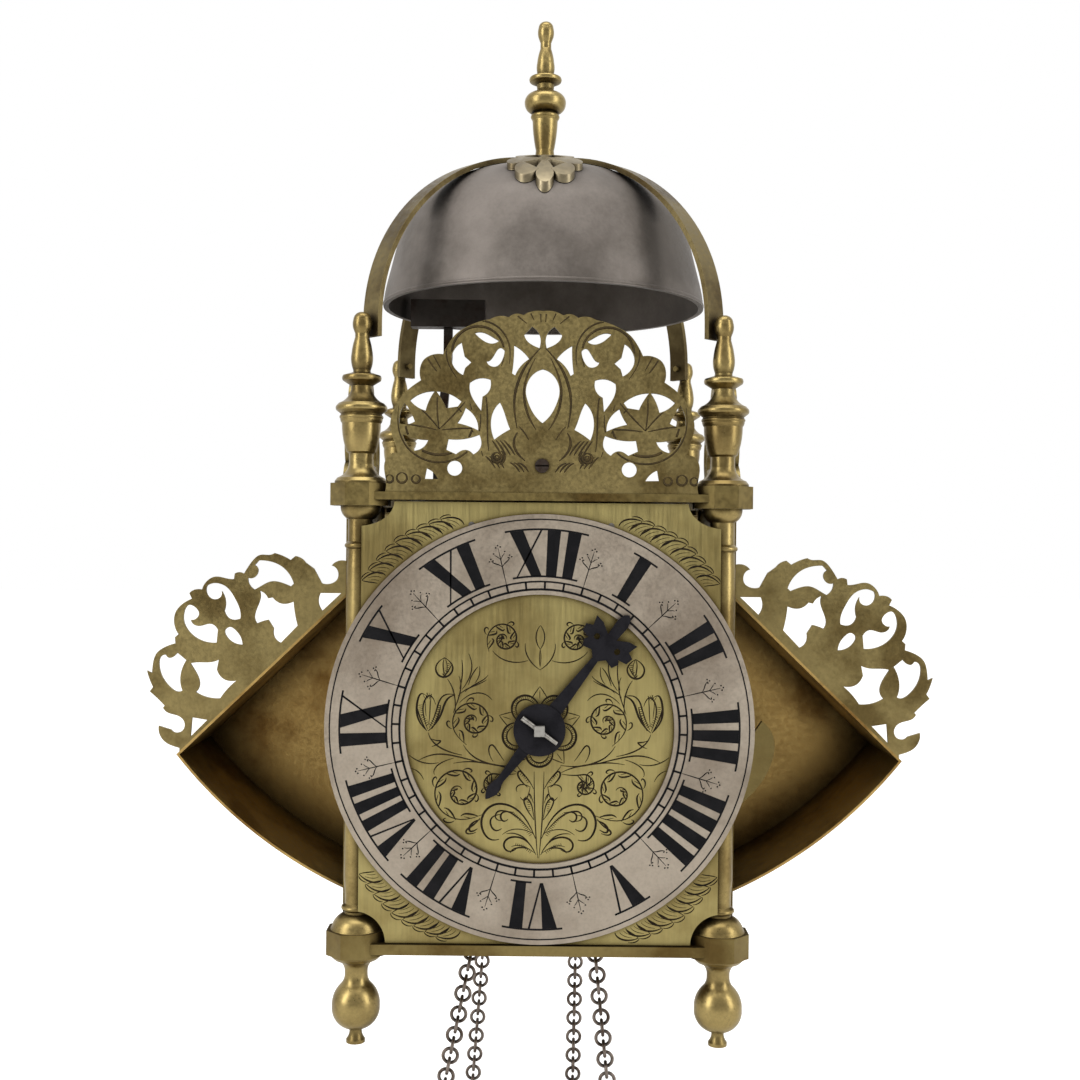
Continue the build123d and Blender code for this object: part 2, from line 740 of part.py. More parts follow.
def make_going_great_wheel():
    angle = direction(0, great_height, second_x, second_z)
    return wheel(great_teeth, great_module, angle, great_arbor_radius, 0, great_height,
                 going_great_y0, going_great_y0 + wheel_thickness)


def make_going_great_arbor():
    """Great arbor, with the pinion of report on its front end."""
    z = great_height
    arbor = rod_y(0, z, great_arbor_radius, going_front_face + open_gap,
                  going_back_face - open_gap)
    arbor = arbor + rod_y(0, z, great_pivot_radius, hour_wheel_y0 - 1.0, going_back_face + 2.6)
    angle = direction(0, great_height, 0, dial_centre_height)
    leaves = pinion(report_leaves, motion_module, angle, 0, z, hour_wheel_y0 - 1.0,
                    hour_wheel_y0 + wheel_thickness + 1.0)
    return arbor + leaves


def train_arbor(x, z, y0, y1, leaves, module, mesh_angle, mesh_y0, mesh_y1):
    """Arbor between two bars with its pinion."""
    arbor = pivoted_arbor(x, z, arbor_radius, pivot_radius, y0, y1, 2.6, 2.6)
    return arbor + pinion(leaves, module, mesh_angle, x, z, mesh_y0, mesh_y1)


def make_second_wheel():
    back = direction(second_x, second_z, 0, great_height)
    ahead = direction(second_x, second_z, contrate_x, contrate_z)
    arbor = train_arbor(second_x, second_z, going_front_face, going_back_face,
                        great_pinion_leaves, great_module, back, going_great_y0 - 1,
                        going_great_y0 + wheel_thickness + 1)
    disc = wheel(second_teeth, second_module, ahead, 0, second_x, second_z,
                 going_second_y1 - wheel_thickness, going_second_y1)
    return arbor + disc


contrate_tooth = 3.7
contrate_rim_y0 = crown_y - 8.6
contrate_rim_y1 = contrate_rim_y0 + 2.6


def make_contrate_wheel():
    """Wheel whose teeth stand towards the back, to turn the upright crown wheel."""
    back = direction(contrate_x, contrate_z, second_x, second_z)
    arbor = train_arbor(contrate_x, contrate_z, going_front_face, going_back_face,
                        contrate_pinion_leaves, second_module, back,
                        going_second_y1 - wheel_thickness - 1, going_second_y1 + 1)
    rim = Circle(contrate_radius + 1.0) - Circle(contrate_radius - 1.0)
    spokes = Rectangle(2 * contrate_radius - 1, 3.0) + Rectangle(3.0, 2 * contrate_radius - 1)
    place = Pos(contrate_x, contrate_z)
    piece = arbor + sheet_y(place * rim, contrate_rim_y0, contrate_rim_y1)
    piece = piece + sheet_y(place * (spokes + Circle(4.0)), contrate_rim_y0,
                            contrate_rim_y0 + 1.6)
    teeth = []
    width = 0.34 * 2 * math.pi * contrate_radius / contrate_teeth
    for tooth in range(contrate_teeth):
        turn = 90 + tooth * 360 / contrate_teeth
        side = Polyline((-width / 2, contrate_rim_y1 - 0.2), (width / 2, contrate_rim_y1 - 0.2),
                        (width / 2, contrate_rim_y1 + contrate_tooth * 0.5),
                        (width / 6, contrate_rim_y1 + contrate_tooth),
                        (-width / 6, contrate_rim_y1 + contrate_tooth),
                        (-width / 2, contrate_rim_y1 + contrate_tooth * 0.5), close=True)
        prism = extrude(make_face(side), amount=1.6)
        standing = Pos(0, 0, contrate_radius - 0.8) * prism
        teeth.append(Pos(contrate_x, 0, contrate_z) * Rot(0, 90 - turn, 0) * standing)
    return piece + teeth


crown_pitch_radius = contrate_radius * crown_pinion_leaves / contrate_teeth
crown_foot_z = contrate_z + 8.0
crown_band_z0 = verge_height - 17.0
crown_tip_z = verge_height - pallet_reach - 0.6
crown_tooth = 3.6
crown_x = contrate_x


def make_crown_wheel():
    """Crown wheel on its upright arbor, with a pinion in the contrate wheel."""
    place = Pos(crown_x, crown_y)
    arbor = rod_z(crown_x, crown_y, arbor_radius - 0.4, crown_foot_z + 2.6, verge_height - 5.0)
    arbor = arbor + rod_z(crown_x, crown_y, pivot_radius - 0.3, crown_foot_z,
                          verge_height - 2.6)
    pinion_module = 2 * crown_pitch_radius / crown_pinion_leaves
    leaves_z0 = contrate_z + contrate_radius - 4.0
    leaves_z1 = contrate_z + contrate_radius + 4.0
    face = gear_face(crown_pinion_leaves, pinion_module, 0.28, 0.7, 1.1,
                     -90 + 180 / crown_pinion_leaves)
    piece = arbor + extrude(Pos(0, 0, leaves_z0) * place * face, amount=leaves_z1 - leaves_z0)
    band = Circle(crown_radius + 0.7) - Circle(crown_radius - 0.7)
    spokes = Rectangle(2 * crown_radius, 2.6) + Rectangle(2.6, 2 * crown_radius)
    disc = spokes + Circle(3.4) + (Circle(crown_radius + 0.7) - Circle(crown_radius - 2.2))
    piece = piece + extrude(Pos(0, 0, crown_band_z0) * place * disc, amount=1.4)
    piece = piece + extrude(Pos(0, 0, crown_band_z0) * place * band,
                            amount=crown_tip_z - crown_tooth - crown_band_z0)
    teeth = []
    pitch = 2 * math.pi * crown_radius / crown_teeth
    root = crown_tip_z - crown_tooth - 0.2
    for tooth in range(crown_teeth):
        side = Polyline((-pitch * 0.42, root), (pitch * 0.4, root),
                        (pitch * 0.34, crown_tip_z), (pitch * 0.22, crown_tip_z), close=True)
        prism = extrude(Plane.XZ * make_face(side), amount=1.1)
        standing = Pos(0, crown_radius + 0.55, 0) * prism
        turn = tooth * 360 / crown_teeth
        teeth.append(Pos(crown_x, crown_y, 0) * Rot(0, 0, turn) * standing)
    return piece + teeth


verge_cock_thickness = 3.0
verge_front_y = crown_y - crown_radius - 6.0


def make_verge_cocks():
    """Cocks under the top plate for the verge, the nose over the crown wheel, and the
    foot that the crown wheel stands in."""
    z1 = top_plate_z0
    bore = rod_y(0, verge_height, pivot_radius + bore_gap, verge_front_y - 9, verge_back_y + 9)
    front = block(-4, 4, verge_front_y - verge_cock_thickness, verge_front_y,
                  verge_height - 4, z1) - bore
    back = block(-4, 4, verge_back_y, verge_back_y + verge_cock_thickness,
                 verge_height - 4, z1) - bore
    nose = block(crown_x - 3, crown_x + 11, crown_y - 3, crown_y + 3, verge_height - 4.6,
                 verge_height + 4.0)
    nose = nose + block(crown_x + 7, crown_x + 11, crown_y - 3, crown_y + 3,
                        verge_height - 4.6, z1)
    nose = nose - rod_y(0, verge_height, verge_radius + open_gap, crown_y - 9, crown_y + 9)
    nose = nose - rod_z(crown_x, crown_y, pivot_radius - 0.3 + bore_gap, verge_height - 6,
                        verge_height)
    foot = block(crown_x - 3, crown_x + 3, crown_y - 3, going_back_face, crown_foot_z - 0.6,
                 crown_foot_z + 2.2)
    foot = foot - rod_z(crown_x, crown_y, pivot_radius - 0.3 + bore_gap, crown_foot_z,
                        crown_foot_z + 4)
    return [front, back, nose, foot]


def make_verge():
    """Verge staff with its two pallets."""
    z = verge_height
    staff = rod_y(0, z, verge_radius, verge_front_y + open_gap, verge_back_y - open_gap)
    staff = staff + rod_y(0, z, pivot_radius, verge_front_y - 2.6, verge_back_y + 2.6)
    pallets = []
    for side, lean in ((-1, 48), (1, -48)):
        y = crown_y + side * crown_radius
        flag = block(-0.4, 0.4, y - 2.2, y + 2.2, z - pallet_reach, z)
        pallets.append(Pos(0, 0, z) * Rot(0, lean, 0) * Pos(0, 0, -z) * flag)
    return staff + pallets


# ------------------------------------------------------------------ pendulum
bob_arm_width = 11.0


def tilted(piece):
    """Turned about the verge, as the pendulum stands at rest."""
    return Pos(0, 0, verge_height) * Rot(0, -rest_tilt, 0) * Pos(0, 0, -verge_height) * piece


def make_pendulum_rod():
    """Flat-sided rod clamped on the verge."""
    collet = rod_y(0, verge_height, 4.2, -3.4, 3.4)
    rod = block(-1.4, 1.4, -0.9, 0.9, verge_height - bob_radius + bob_arm_width,
                verge_height)
    piece = collet + rod
    piece = piece - rod_y(0, verge_height, verge_radius, -9, 9)
    return tilted(piece)


def spot(radius, degrees, sharp=False):
    """Point at a radius from the verge and an angle from straight down."""
    a = math.radians(degrees)
    place = (radius * math.sin(a), -radius * math.cos(a))
    return place + (1,) if sharp else place


def make_anchor_bob():
    """Anchor-shaped bob: two arms that curve up to barbed flukes."""
    r1 = bob_radius
    angle = fluke_angle
    right = [spot(r1, angle * 0.35), spot(r1 - 1.0, angle * 0.65), spot(r1 - 5.0, angle * 0.88),
             spot(r1 - 13.0, angle * 0.98), spot(fluke_radius, angle, True),
             spot(r1 - 18.0, angle * 0.80, True), spot(r1 - 12.0, angle * 0.84),
             spot(r1 - 8.5, angle * 0.70), spot(r1 - 8.0, angle * 0.4),
             spot(r1 - 11.0, 3.2, True)]
    left = [(-p[0], p[1]) + tuple(p[2:]) for p in reversed(right)]
    face = cut_shape([(0, -r1 - bob_point, 1)] + right + left)
    shank = Pos(0, -(r1 - 24.0)) * Rectangle(7.0, 34.0)
    ring = Pos(0, -(r1 - 42.0)) * Circle(5.0)
    face = face + shank + ring
    piece = sheet_y(Pos(0, verge_height) * face, -bob_thickness / 2, bob_thickness / 2)
    slot = block(-1.4 - bore_gap, 1.4 + bore_gap, -0.9 - bore_gap, 0.9 + bore_gap,
                 verge_height - r1 + bob_arm_width - bore_gap, verge_height)
    return tilted(piece - slot)


# ------------------------------------------------------------------ strike train
strike_great_y0 = strike_front_face + 7.0
hoop_wheel_y1 = strike_back_face - 4.0
warning_wheel_y0 = strike_front_face + 2.5
hammer_pins = 10
hammer_pin_circle = 33.0
hammer_pin_radius = 1.0


def make_strike_great_wheel():
    """Strike great wheel with the ten pins that lift the hammer."""
    angle = direction(0, great_height, hoop_x, hoop_z)
    piece = wheel(great_teeth, great_module, angle, great_arbor_radius, 0, great_height,
                  strike_great_y0, strike_great_y0 + wheel_thickness)
    pins = []
    for pin in range(hammer_pins):
        a = math.radians(pin * 360 / hammer_pins)
        pins.append(rod_y(hammer_pin_circle * math.cos(a),
                          great_height + hammer_pin_circle * math.sin(a), hammer_pin_radius,
                          strike_great_y0 - 3.6, strike_great_y0 + 0.5))
    return piece + pins


def make_strike_great_arbor():
    """Great arbor of the strike, with the pinion of the count wheel on its back end."""
    z = great_height
    arbor = rod_y(0, z, great_arbor_radius, strike_front_face + open_gap,
                  strike_back_face - open_gap)
    arbor = arbor + rod_y(0, z, great_pivot_radius, strike_front_face - 2.6, count_y1)
    angle = direction(0, great_height, 0, count_z)
    return arbor + pinion(count_pinion_leaves, count_module, angle, 0, z, count_y0 - 1, count_y1)


count_y0 = back_bar_y + bar_thickness + 3.0
count_y1 = count_y0 + wheel_thickness + 1.0


def make_count_wheel():
    """Count wheel on a stud of the back bar, notched round its band for the hours."""
    angle = direction(0, count_z, 0, great_height)
    disc = wheel(count_teeth, count_module, angle, great_pivot_radius, 0, count_z, count_y0,
                 count_y0 + wheel_thickness)
    band = Circle(19.0) - Circle(15.0)
    blows = 0
    for hour in range(1, 13):
        blows += hour
        turn = blows * 360 / 78
        notch = Rot(0, 0, turn) * Pos(18.0, 0) * Rectangle(5.0, 2.2)
        band = band - notch
    ring = sheet_y(Pos(0, count_z) * band, count_y0 + wheel_thickness,
                   count_y0 + wheel_thickness + 1.6)
    stud = rod_y(0, count_z, great_pivot_radius, back_bar_y + 0.4, count_y0 + wheel_thickness)
    return disc + ring + stud


def make_hoop_wheel():
    """Hoop wheel, which turns once for each blow."""
    back = direction(hoop_x, hoop_z, 0, great_height)
    ahead = direction(hoop_x, hoop_z, warning_x, warning_z)
    arbor = train_arbor(hoop_x, hoop_z, strike_front_face, strike_back_face,
                        great_pinion_leaves, great_module, back, strike_great_y0 - 1,
                        strike_great_y0 + wheel_thickness + 1)
    disc = wheel(hoop_teeth, hoop_module, ahead, 0, hoop_x, hoop_z,
                 hoop_wheel_y1 - wheel_thickness, hoop_wheel_y1)
    hoop = Circle(16.0) - Circle(14.6) - Pos(15.0, 0) * Rectangle(5.0, 6.0)
    ring = sheet_y(Pos(hoop_x, hoop_z) * hoop, hoop_wheel_y1 - wheel_thickness - 3.0,
                   hoop_wheel_y1 - wheel_thickness)
    return arbor + disc + ring


def make_warning_wheel():
    """Warning wheel with its single pin."""
    back = direction(warning_x, warning_z, hoop_x, hoop_z)
    ahead = direction(warning_x, warning_z, fly_x, fly_z)
    arbor = train_arbor(warning_x, warning_z, strike_front_face, strike_back_face,
                        warning_pinion_leaves, hoop_module, back,
                        hoop_wheel_y1 - wheel_thickness - 1, hoop_wheel_y1 + 1)
    disc = wheel(warning_teeth, warning_module, ahead, 0, warning_x, warning_z,
                 warning_wheel_y0, warning_wheel_y0 + 1.6)
    pin = rod_y(warning_x + 15.6, warning_z, 0.8, strike_front_face + open_gap,
                warning_wheel_y0 + 0.4)
    return arbor + disc + pin


def make_fly():
    """Air brake of the strike: a sheet vane on a slim arbor."""
    back = direction(fly_x, fly_z, warning_x, warning_z)
    arbor = train_arbor(fly_x, fly_z, strike_front_face, strike_back_face, fly_pinion_leaves,
                        warning_module, back, warning_wheel_y0 - 0.6, warning_wheel_y0 + 2.4)
    vane = block(fly_x - 14, fly_x + 14, strike_front_face + 14, strike_front_face + 32,
                 fly_z - 0.4, fly_z + 0.4)
    return arbor + vane


# ------------------------------------------------------------------ hammer and detents
head_length = 34.0
head_height = 12.5
head_depth = 8.0
head_wall_gap = 7.8
head_end_x = -(bell_radius - bell_wall - head_wall_gap)
head_middle_z = bell_rim_height + 1.6
tail_tip_x = -29.5
tail_tip_z = great_height + 20.6
kick_y = strike_front_face + 30.0
kick_left_x = -hammer_reach - 3.4
kick_low_z = hammer_z - 17.0


def make_hammer():
    """Hammer: arbor, blade up through the top plate, head inside the bell, and tail."""
    x = -hammer_reach
    y0 = hammer_slot_y0
    y1 = y0 + hammer_blade
    arbor = pivoted_arbor(x, hammer_z, arbor_radius + 0.6, pivot_radius, strike_front_face,
                          strike_back_face, 2.6, 2.6)
    head_x = head_end_x + head_length / 2
    blade = Polyline((x - 2, hammer_z), (x + 2, hammer_z), (x + 2, top_plate_z1 + 12),
                     (head_x + 2, head_middle_z - 20), (head_x + 2, head_middle_z),
                     (head_x - 2, head_middle_z), (head_x - 2, head_middle_z - 20),
                     (x - 2, top_plate_z1 + 14), close=True)
    piece = arbor + sheet_y(make_face(blade), y0, y1)
    middle_y = (y0 + y1) / 2
    head = block(head_end_x, head_end_x + head_length, middle_y - head_depth / 2,
                 middle_y + head_depth / 2, head_middle_z - head_height / 2,
                 head_middle_z + head_height / 2)
    piece = piece + head
    tail_y0 = strike_great_y0 - 4.4
    tail = arm_face(x, hammer_z, tail_tip_x, tail_tip_z, 2.4, 0.8)
    kick = block(kick_left_x, x, kick_y - 3, kick_y + 3, kick_low_z, hammer_z)
    return piece + sheet_y(tail, tail_y0, tail_y0 + 2.4) + kick


def make_hammer_spring():
    """Flat steel spring on the bottom plate that presses against the hammer's kick piece."""
    foot_x = kick_left_x - 8.0
    touch_x = kick_left_x - bore_gap
    z0 = bottom_plate_z1
    side = Polyline((foot_x - 8, z0), (foot_x + 4, z0), (foot_x + 4, z0 + 1.6),
                    (foot_x + 1.0, z0 + 1.6), (touch_x, kick_low_z + 3.0),
                    (touch_x - 1.0, kick_low_z + 3.0), (foot_x - 0.6, z0 + 1.6),
                    (foot_x - 8, z0 + 1.6), close=True)
    leaf = sheet_y(make_face(side), kick_y - 5, kick_y + 5)
    screw = rod_z(foot_x - 4.6, kick_y, 2.4, z0 + 1.6, z0 + 3.0)
    return leaf + screw


def make_lifting_detent():
    """Lifting piece: its front arm lies under the star, its back arm warns the strike."""
    x = detent_reach
    arbor = rod_y(x, lift_z, arbor_radius, going_front_face + open_gap,
                  strike_front_bar_y - open_gap)
    arbor = arbor + rod_y(x, lift_z, pivot_radius, hour_wheel_y0 + 1.0,
                          strike_front_face + 2.4)
    y0 = hour_wheel_y0 + wheel_thickness + 0.5
    front = arm_face(x, lift_z, 11.6, lift_z - 5.6, 2.4, 0.9)
    piece = arbor + sheet_y(front, y0, y0 + 1.6)
    back = arm_face(x, lift_z, 19.5, lift_z + 10.0, 2.2, 0.9)
    return piece + sheet_y(back, strike_front_face + open_gap, strike_front_face + 2.0)


def make_locking_detent():
    """Locking piece: one arm drops in the hoop's gap, the back one in the count wheel."""
    x = detent_reach
    arbor = pivoted_arbor(x, lock_z, arbor_radius, pivot_radius, strike_front_face,
                          strike_back_face, 2.6, 0)
    arbor = arbor + rod_y(x, lock_z, pivot_radius, strike_back_face - 1, count_y1 + 2.6)
    y0 = hoop_wheel_y1 - wheel_thickness - 2.8
    hoop_arm = arm_face(x, lock_z, hoop_x + 16.0, hoop_z + 7.6, 2.2, 0.8)
    piece = arbor + sheet_y(hoop_arm, y0, y0 + 2.0)
    count_arm = arm_face(x, lock_z, 14.6, count_z + 14.8, 2.2, 0.8)
    return piece + sheet_y(count_arm, count_y0 + wheel_thickness + 0.3,
                           count_y0 + wheel_thickness + 1.9)


# ------------------------------------------------------------------ chains
def chain_spot(along, run):
    """Place and direction of a chain at a length along it from the top of its sprocket."""
    quarter = chain_radius * math.pi / 2
    side = "right" if along > 0 else "left"
    sign = 1 if along > 0 else -1
    if abs(along) <= quarter:
        a = along / chain_radius
        x = chain_radius * math.sin(a)
        z = great_height + chain_radius * math.cos(a)
        return x, z, -math.degrees(a)
    rest = abs(along) - quarter
    corners = [(sign * chain_radius, great_height), (run[side][0], bottom_plate_z1),
               (run[side][1], chain_low_end)]
    for start, end in zip(corners, corners[1:]):
        length = math.dist(start, end)
        if rest <= length:
            t = rest / length
            x = start[0] + t * (end[0] - start[0])
            z = start[1] + t * (end[1] - start[1])
            return x, z, math.degrees(math.atan2(end[1] - start[1], end[0] - start[0]))
        rest -= length
    return None


def make_chain(y, run):
    """Chain of round links over its sprocket, every other link on edge."""
    links = []
    ends = {}
    for sign, side in ((-1, "left"), (1, "right")):
        step = 0 if sign < 0 else 1
        while True:
            spot = chain_spot(sign * step * link_pitch, run)
            if spot is None:
                break
            x, z, slope = spot
            ring = Torus(link_radius, link_wire)
            if step % 2 == 0:
                turned_ring = Rot(0, -slope, 0) * ring
            else:
                turned_ring = Rot(0, -slope, 0) * Rot(90, 0, 0) * ring
            links.append(Pos(x, y, z) * turned_ring)
            ends[side] = (x, z, step)
            step += 1
    return links, ends


hook_wire = 1.1
end_ring_radius = 7.0


def chain_end_ring(y, end):
    """Iron ring through the last link of a chain."""
    x, z, step = end
    drop = end_ring_radius - hook_wire + link_radius - link_wire - 0.25
    place = Pos(x, y, z - drop)
    ring = Torus(end_ring_radius, hook_wire)
    if step % 2 == 0:
        return place * Rot(90, 0, 0) * ring
    return place * Rot(0, 90, 0) * ring


# ------------------------------------------------------------------ doors and wings
door_front_y = -(pillar_half - boss_width / 2 - 0.4)
door_z0 = bottom_plate_z1 + 0.6
door_z1 = top_plate_z0 - 0.5
mouth_z0 = wing_root_bottom + 11.0
mouth_z1 = wing_root_top - 13.1


def wing_outline(extra):
    """Side of a wing as seen from the front; extra carries it inwards past the door."""
    root = door_outer_x
    tip = (wing_tip_reach, wing_tip_height)
    low = (root, wing_root_bottom)
    run = math.dist(tip, low)
    bow_x = (tip[0] + low[0]) / 2 + wing_floor_bow * (tip[1] - low[1]) / run
    bow_z = (tip[1] + low[1]) / 2 - wing_floor_bow * (tip[0] - low[0]) / run
    slope = (wing_root_top - wing_tip_height) / (wing_tip_reach - root)
    inner_top = (root - extra, wing_root_top + slope * extra)
    inner_low = (root - extra, wing_root_bottom - 0.4 * extra)
    return make_face([Line(inner_top, tip), ThreePointArc(tip, (bow_x, bow_z), low),
                      Line(low, inner_low), Line(inner_low, inner_top)])


def make_wing_box():
    """Right wing: sloping roof, curved floor and back sheet, open to the front."""
    long_outline = wing_outline(5.0)
    hollow = offset(long_outline, amount=-wing_wall, kind=Kind.INTERSECTION)
    half = wing_depth / 2
    walls = sheet_y(long_outline - hollow, -half, half)
    back = sheet_y(long_outline, half - wing_wall, half)
    piece = walls + back
    return piece & block(door_outer_x, wing_tip_reach + 9, -half - 1, half + 1,
                         bottom_plate_z0, top_plate_z1)


def wing_leaf():
    """Pierced scroll leaf, from the wing's root corner: outwards and up."""
    slope = (wing_root_top - wing_tip_height) / (wing_tip_reach - door_outer_x)
    far = 74.5
    outline = cut_shape([
        (2.0, 8.8, 1), (9.4, 8.8), (10.6, 7.6, 1), (7.9, 5.1), (8.2, 1.8), (11.2, -0.1),
        (14.7, 0.1, 1), (18.0, 6.2, 1), (21.6, 8.8, 1), (24.0, 10.9), (26.0, 11.5, 1),
        (28.1, 9.8, 1), (31.3, 11.5), (34.9, 12.7, 1), (37.2, 11.9), (40.8, 11.9), (44.3, 9.2),
        (47.8, 3.8, 1), (50.3, 4.4), (51.7, 3.8, 1), (52.0, 1.5, 1), (55.6, 1.8), (60.3, 2.4),
        (63.6, 0.4), (65.5, -3.1, 1), (69.8, -3.7), (70.9, -4.7, 1), (69.8, -7.0, 1),
        (73.4, -9.0), (76.6, -12.7), (77.2, -17.4), (75.3, -22.1, 1), (76.8, -23.4, 1),
        (76.6, -26.0, 1), (80.8, -27.5), (84.6, -30.4), (86.1, -35.2), (86.4, -38.7, 1),
        (88.5, -37.7, 1), (87.6, -40.8), (85.9, -44.6, 1), (87.3, -46.5, 1), (84.0, -49.4),
        (80.9, -52.5, 1), (81.6, -53.4, 1), (78.7, -55.8), (74.5, -57.1), (72.5, -59.4),
        (72.8, -62.4), (75.1, -63.9), (78.1, -62.7, 1), (83.3, -61.1, 1), (83.1, -64.2),
        (80.8, -67.7), (77.5, -69.5), (74.5, -70.4, 1), (far, -slope * far, 1),
        (2.0, -slope * 2.0, 1)])
    holes = [
        [(15.3, -4.1, 1), (6.5, -4.1, 1), (14.4, -11.6, 1), (16.0, -7.9)],
        [(41.4, 9.5, 1), (37.2, 9.2), (32.5, 7.5), (28.4, 3.6), (26.6, -0.2, 1), (27.8, -1.4, 1),
         (31.9, 0.2), (36.1, 0.7), (39.6, -0.8), (43.2, -2.9, 1), (45.5, -0.5), (46.0, 2.1, 1),
         (43.2, 2.4), (41.7, 5.1), (43.2, 7.5, 1)],
        [(41.1, -3.3, 1), (38.7, -4.7), (37.4, -6.6, 1), (35.5, -6.2, 1), (32.5, -8.5),
         (26.6, -7.9, 1), (26.0, -12.7), (24.8, -18.0, 1), (31.9, -25.4, 1), (34.0, -23.9),
         (34.9, -19.2, 1), (37.2, -15.6, 1), (39.6, -16.2), (42.0, -17.2, 1), (43.0, -15.0),
         (41.7, -9.7)],
        [(63.2, -1.3, 1), (58.6, -0.4), (55.0, -2.0), (51.5, -6.7), (49.2, -12.1),
         (49.1, -15.2, 1), (53.7, -15.3), (55.9, -12.1, 1), (55.5, -7.3), (57.1, -3.7, 1),
         (58.3, -6.7), (61.2, -7.0), (63.6, -4.1)],
        [(53.5, -18.9), (51.2, -20.1), (48.8, -23.3), (48.1, -26.3, 1), (50.6, -26.0),
         (55.0, -22.7), (55.6, -20.4)],
        [(71.0, -9.7), (68.0, -10.9), (66.7, -13.6), (68.0, -15.5), (70.1, -16.0, 1),
         (68.6, -18.1), (66.3, -18.6), (63.9, -18.0), (58.6, -20.0, 1), (59.1, -25.6, 1),
         (63.9, -25.2), (68.6, -23.0), (72.2, -18.9), (73.2, -13.9)],
        [(80.6, -30.9, 1), (78.4, -32.2), (77.2, -31.6), (75.7, -30.0, 1), (71.9, -33.1, 1),
         (73.7, -36.9), (74.4, -41.1), (73.4, -46.0, 1), (75.4, -46.5), (78.7, -44.6),
         (82.2, -39.9), (83.4, -35.2), (82.8, -31.9)],
        [(70.1, -34.5, 1), (66.8, -34.0), (62.7, -34.0), (58.1, -32.8, 1), (58.9, -36.9, 1),
         (56.5, -40.6), (50.7, -41.7, 1), (54.4, -45.2), (57.4, -49.2, 1), (62.7, -48.8),
         (67.7, -46.7, 1), (66.1, -42.9), (67.3, -39.0)],
        [(69.2, -57.4, 1), (62.8, -58.4, 1), (69.8, -65.5, 1)]]
    face = outline
    for hole in holes:
        face = face - cut_shape(hole)
    return face


def make_wing_fret():
    """The leaf stands on the wing's roof, flush with its front edge."""
    front = -wing_depth / 2
    face = Pos(door_outer_x, wing_root_top) * wing_leaf()
    return sheet_y(face, front, front + wing_fret_thickness)


def make_side_door():
    """Right side door, with the opening that the pendulum's flukes swing through."""
    back_y = door_hinge_setback
    sheet = block(door_inner_x, door_outer_x, door_front_y, back_y, door_z0, door_z1)
    half = wing_depth / 2 - wing_wall - 1.0
    sheet = sheet - block(door_inner_x - 1, door_outer_x + 1, -half, half, mouth_z0, mouth_z1)
    rod = rod_z(door_middle_x, back_y, door_rod_radius, door_z0, door_z1)
    pins = rod_z(door_middle_x, back_y, door_pin_radius, bottom_plate_z0 + 0.8,
                 top_plate_z1 - 0.4)
    return sheet + rod + pins


def mirrored(piece):
    """The left-hand copy of a right-hand piece."""
    return mirror(piece, about=Plane.YZ)


# ------------------------------------------------------------------ frets
fret_half_width = 60.5


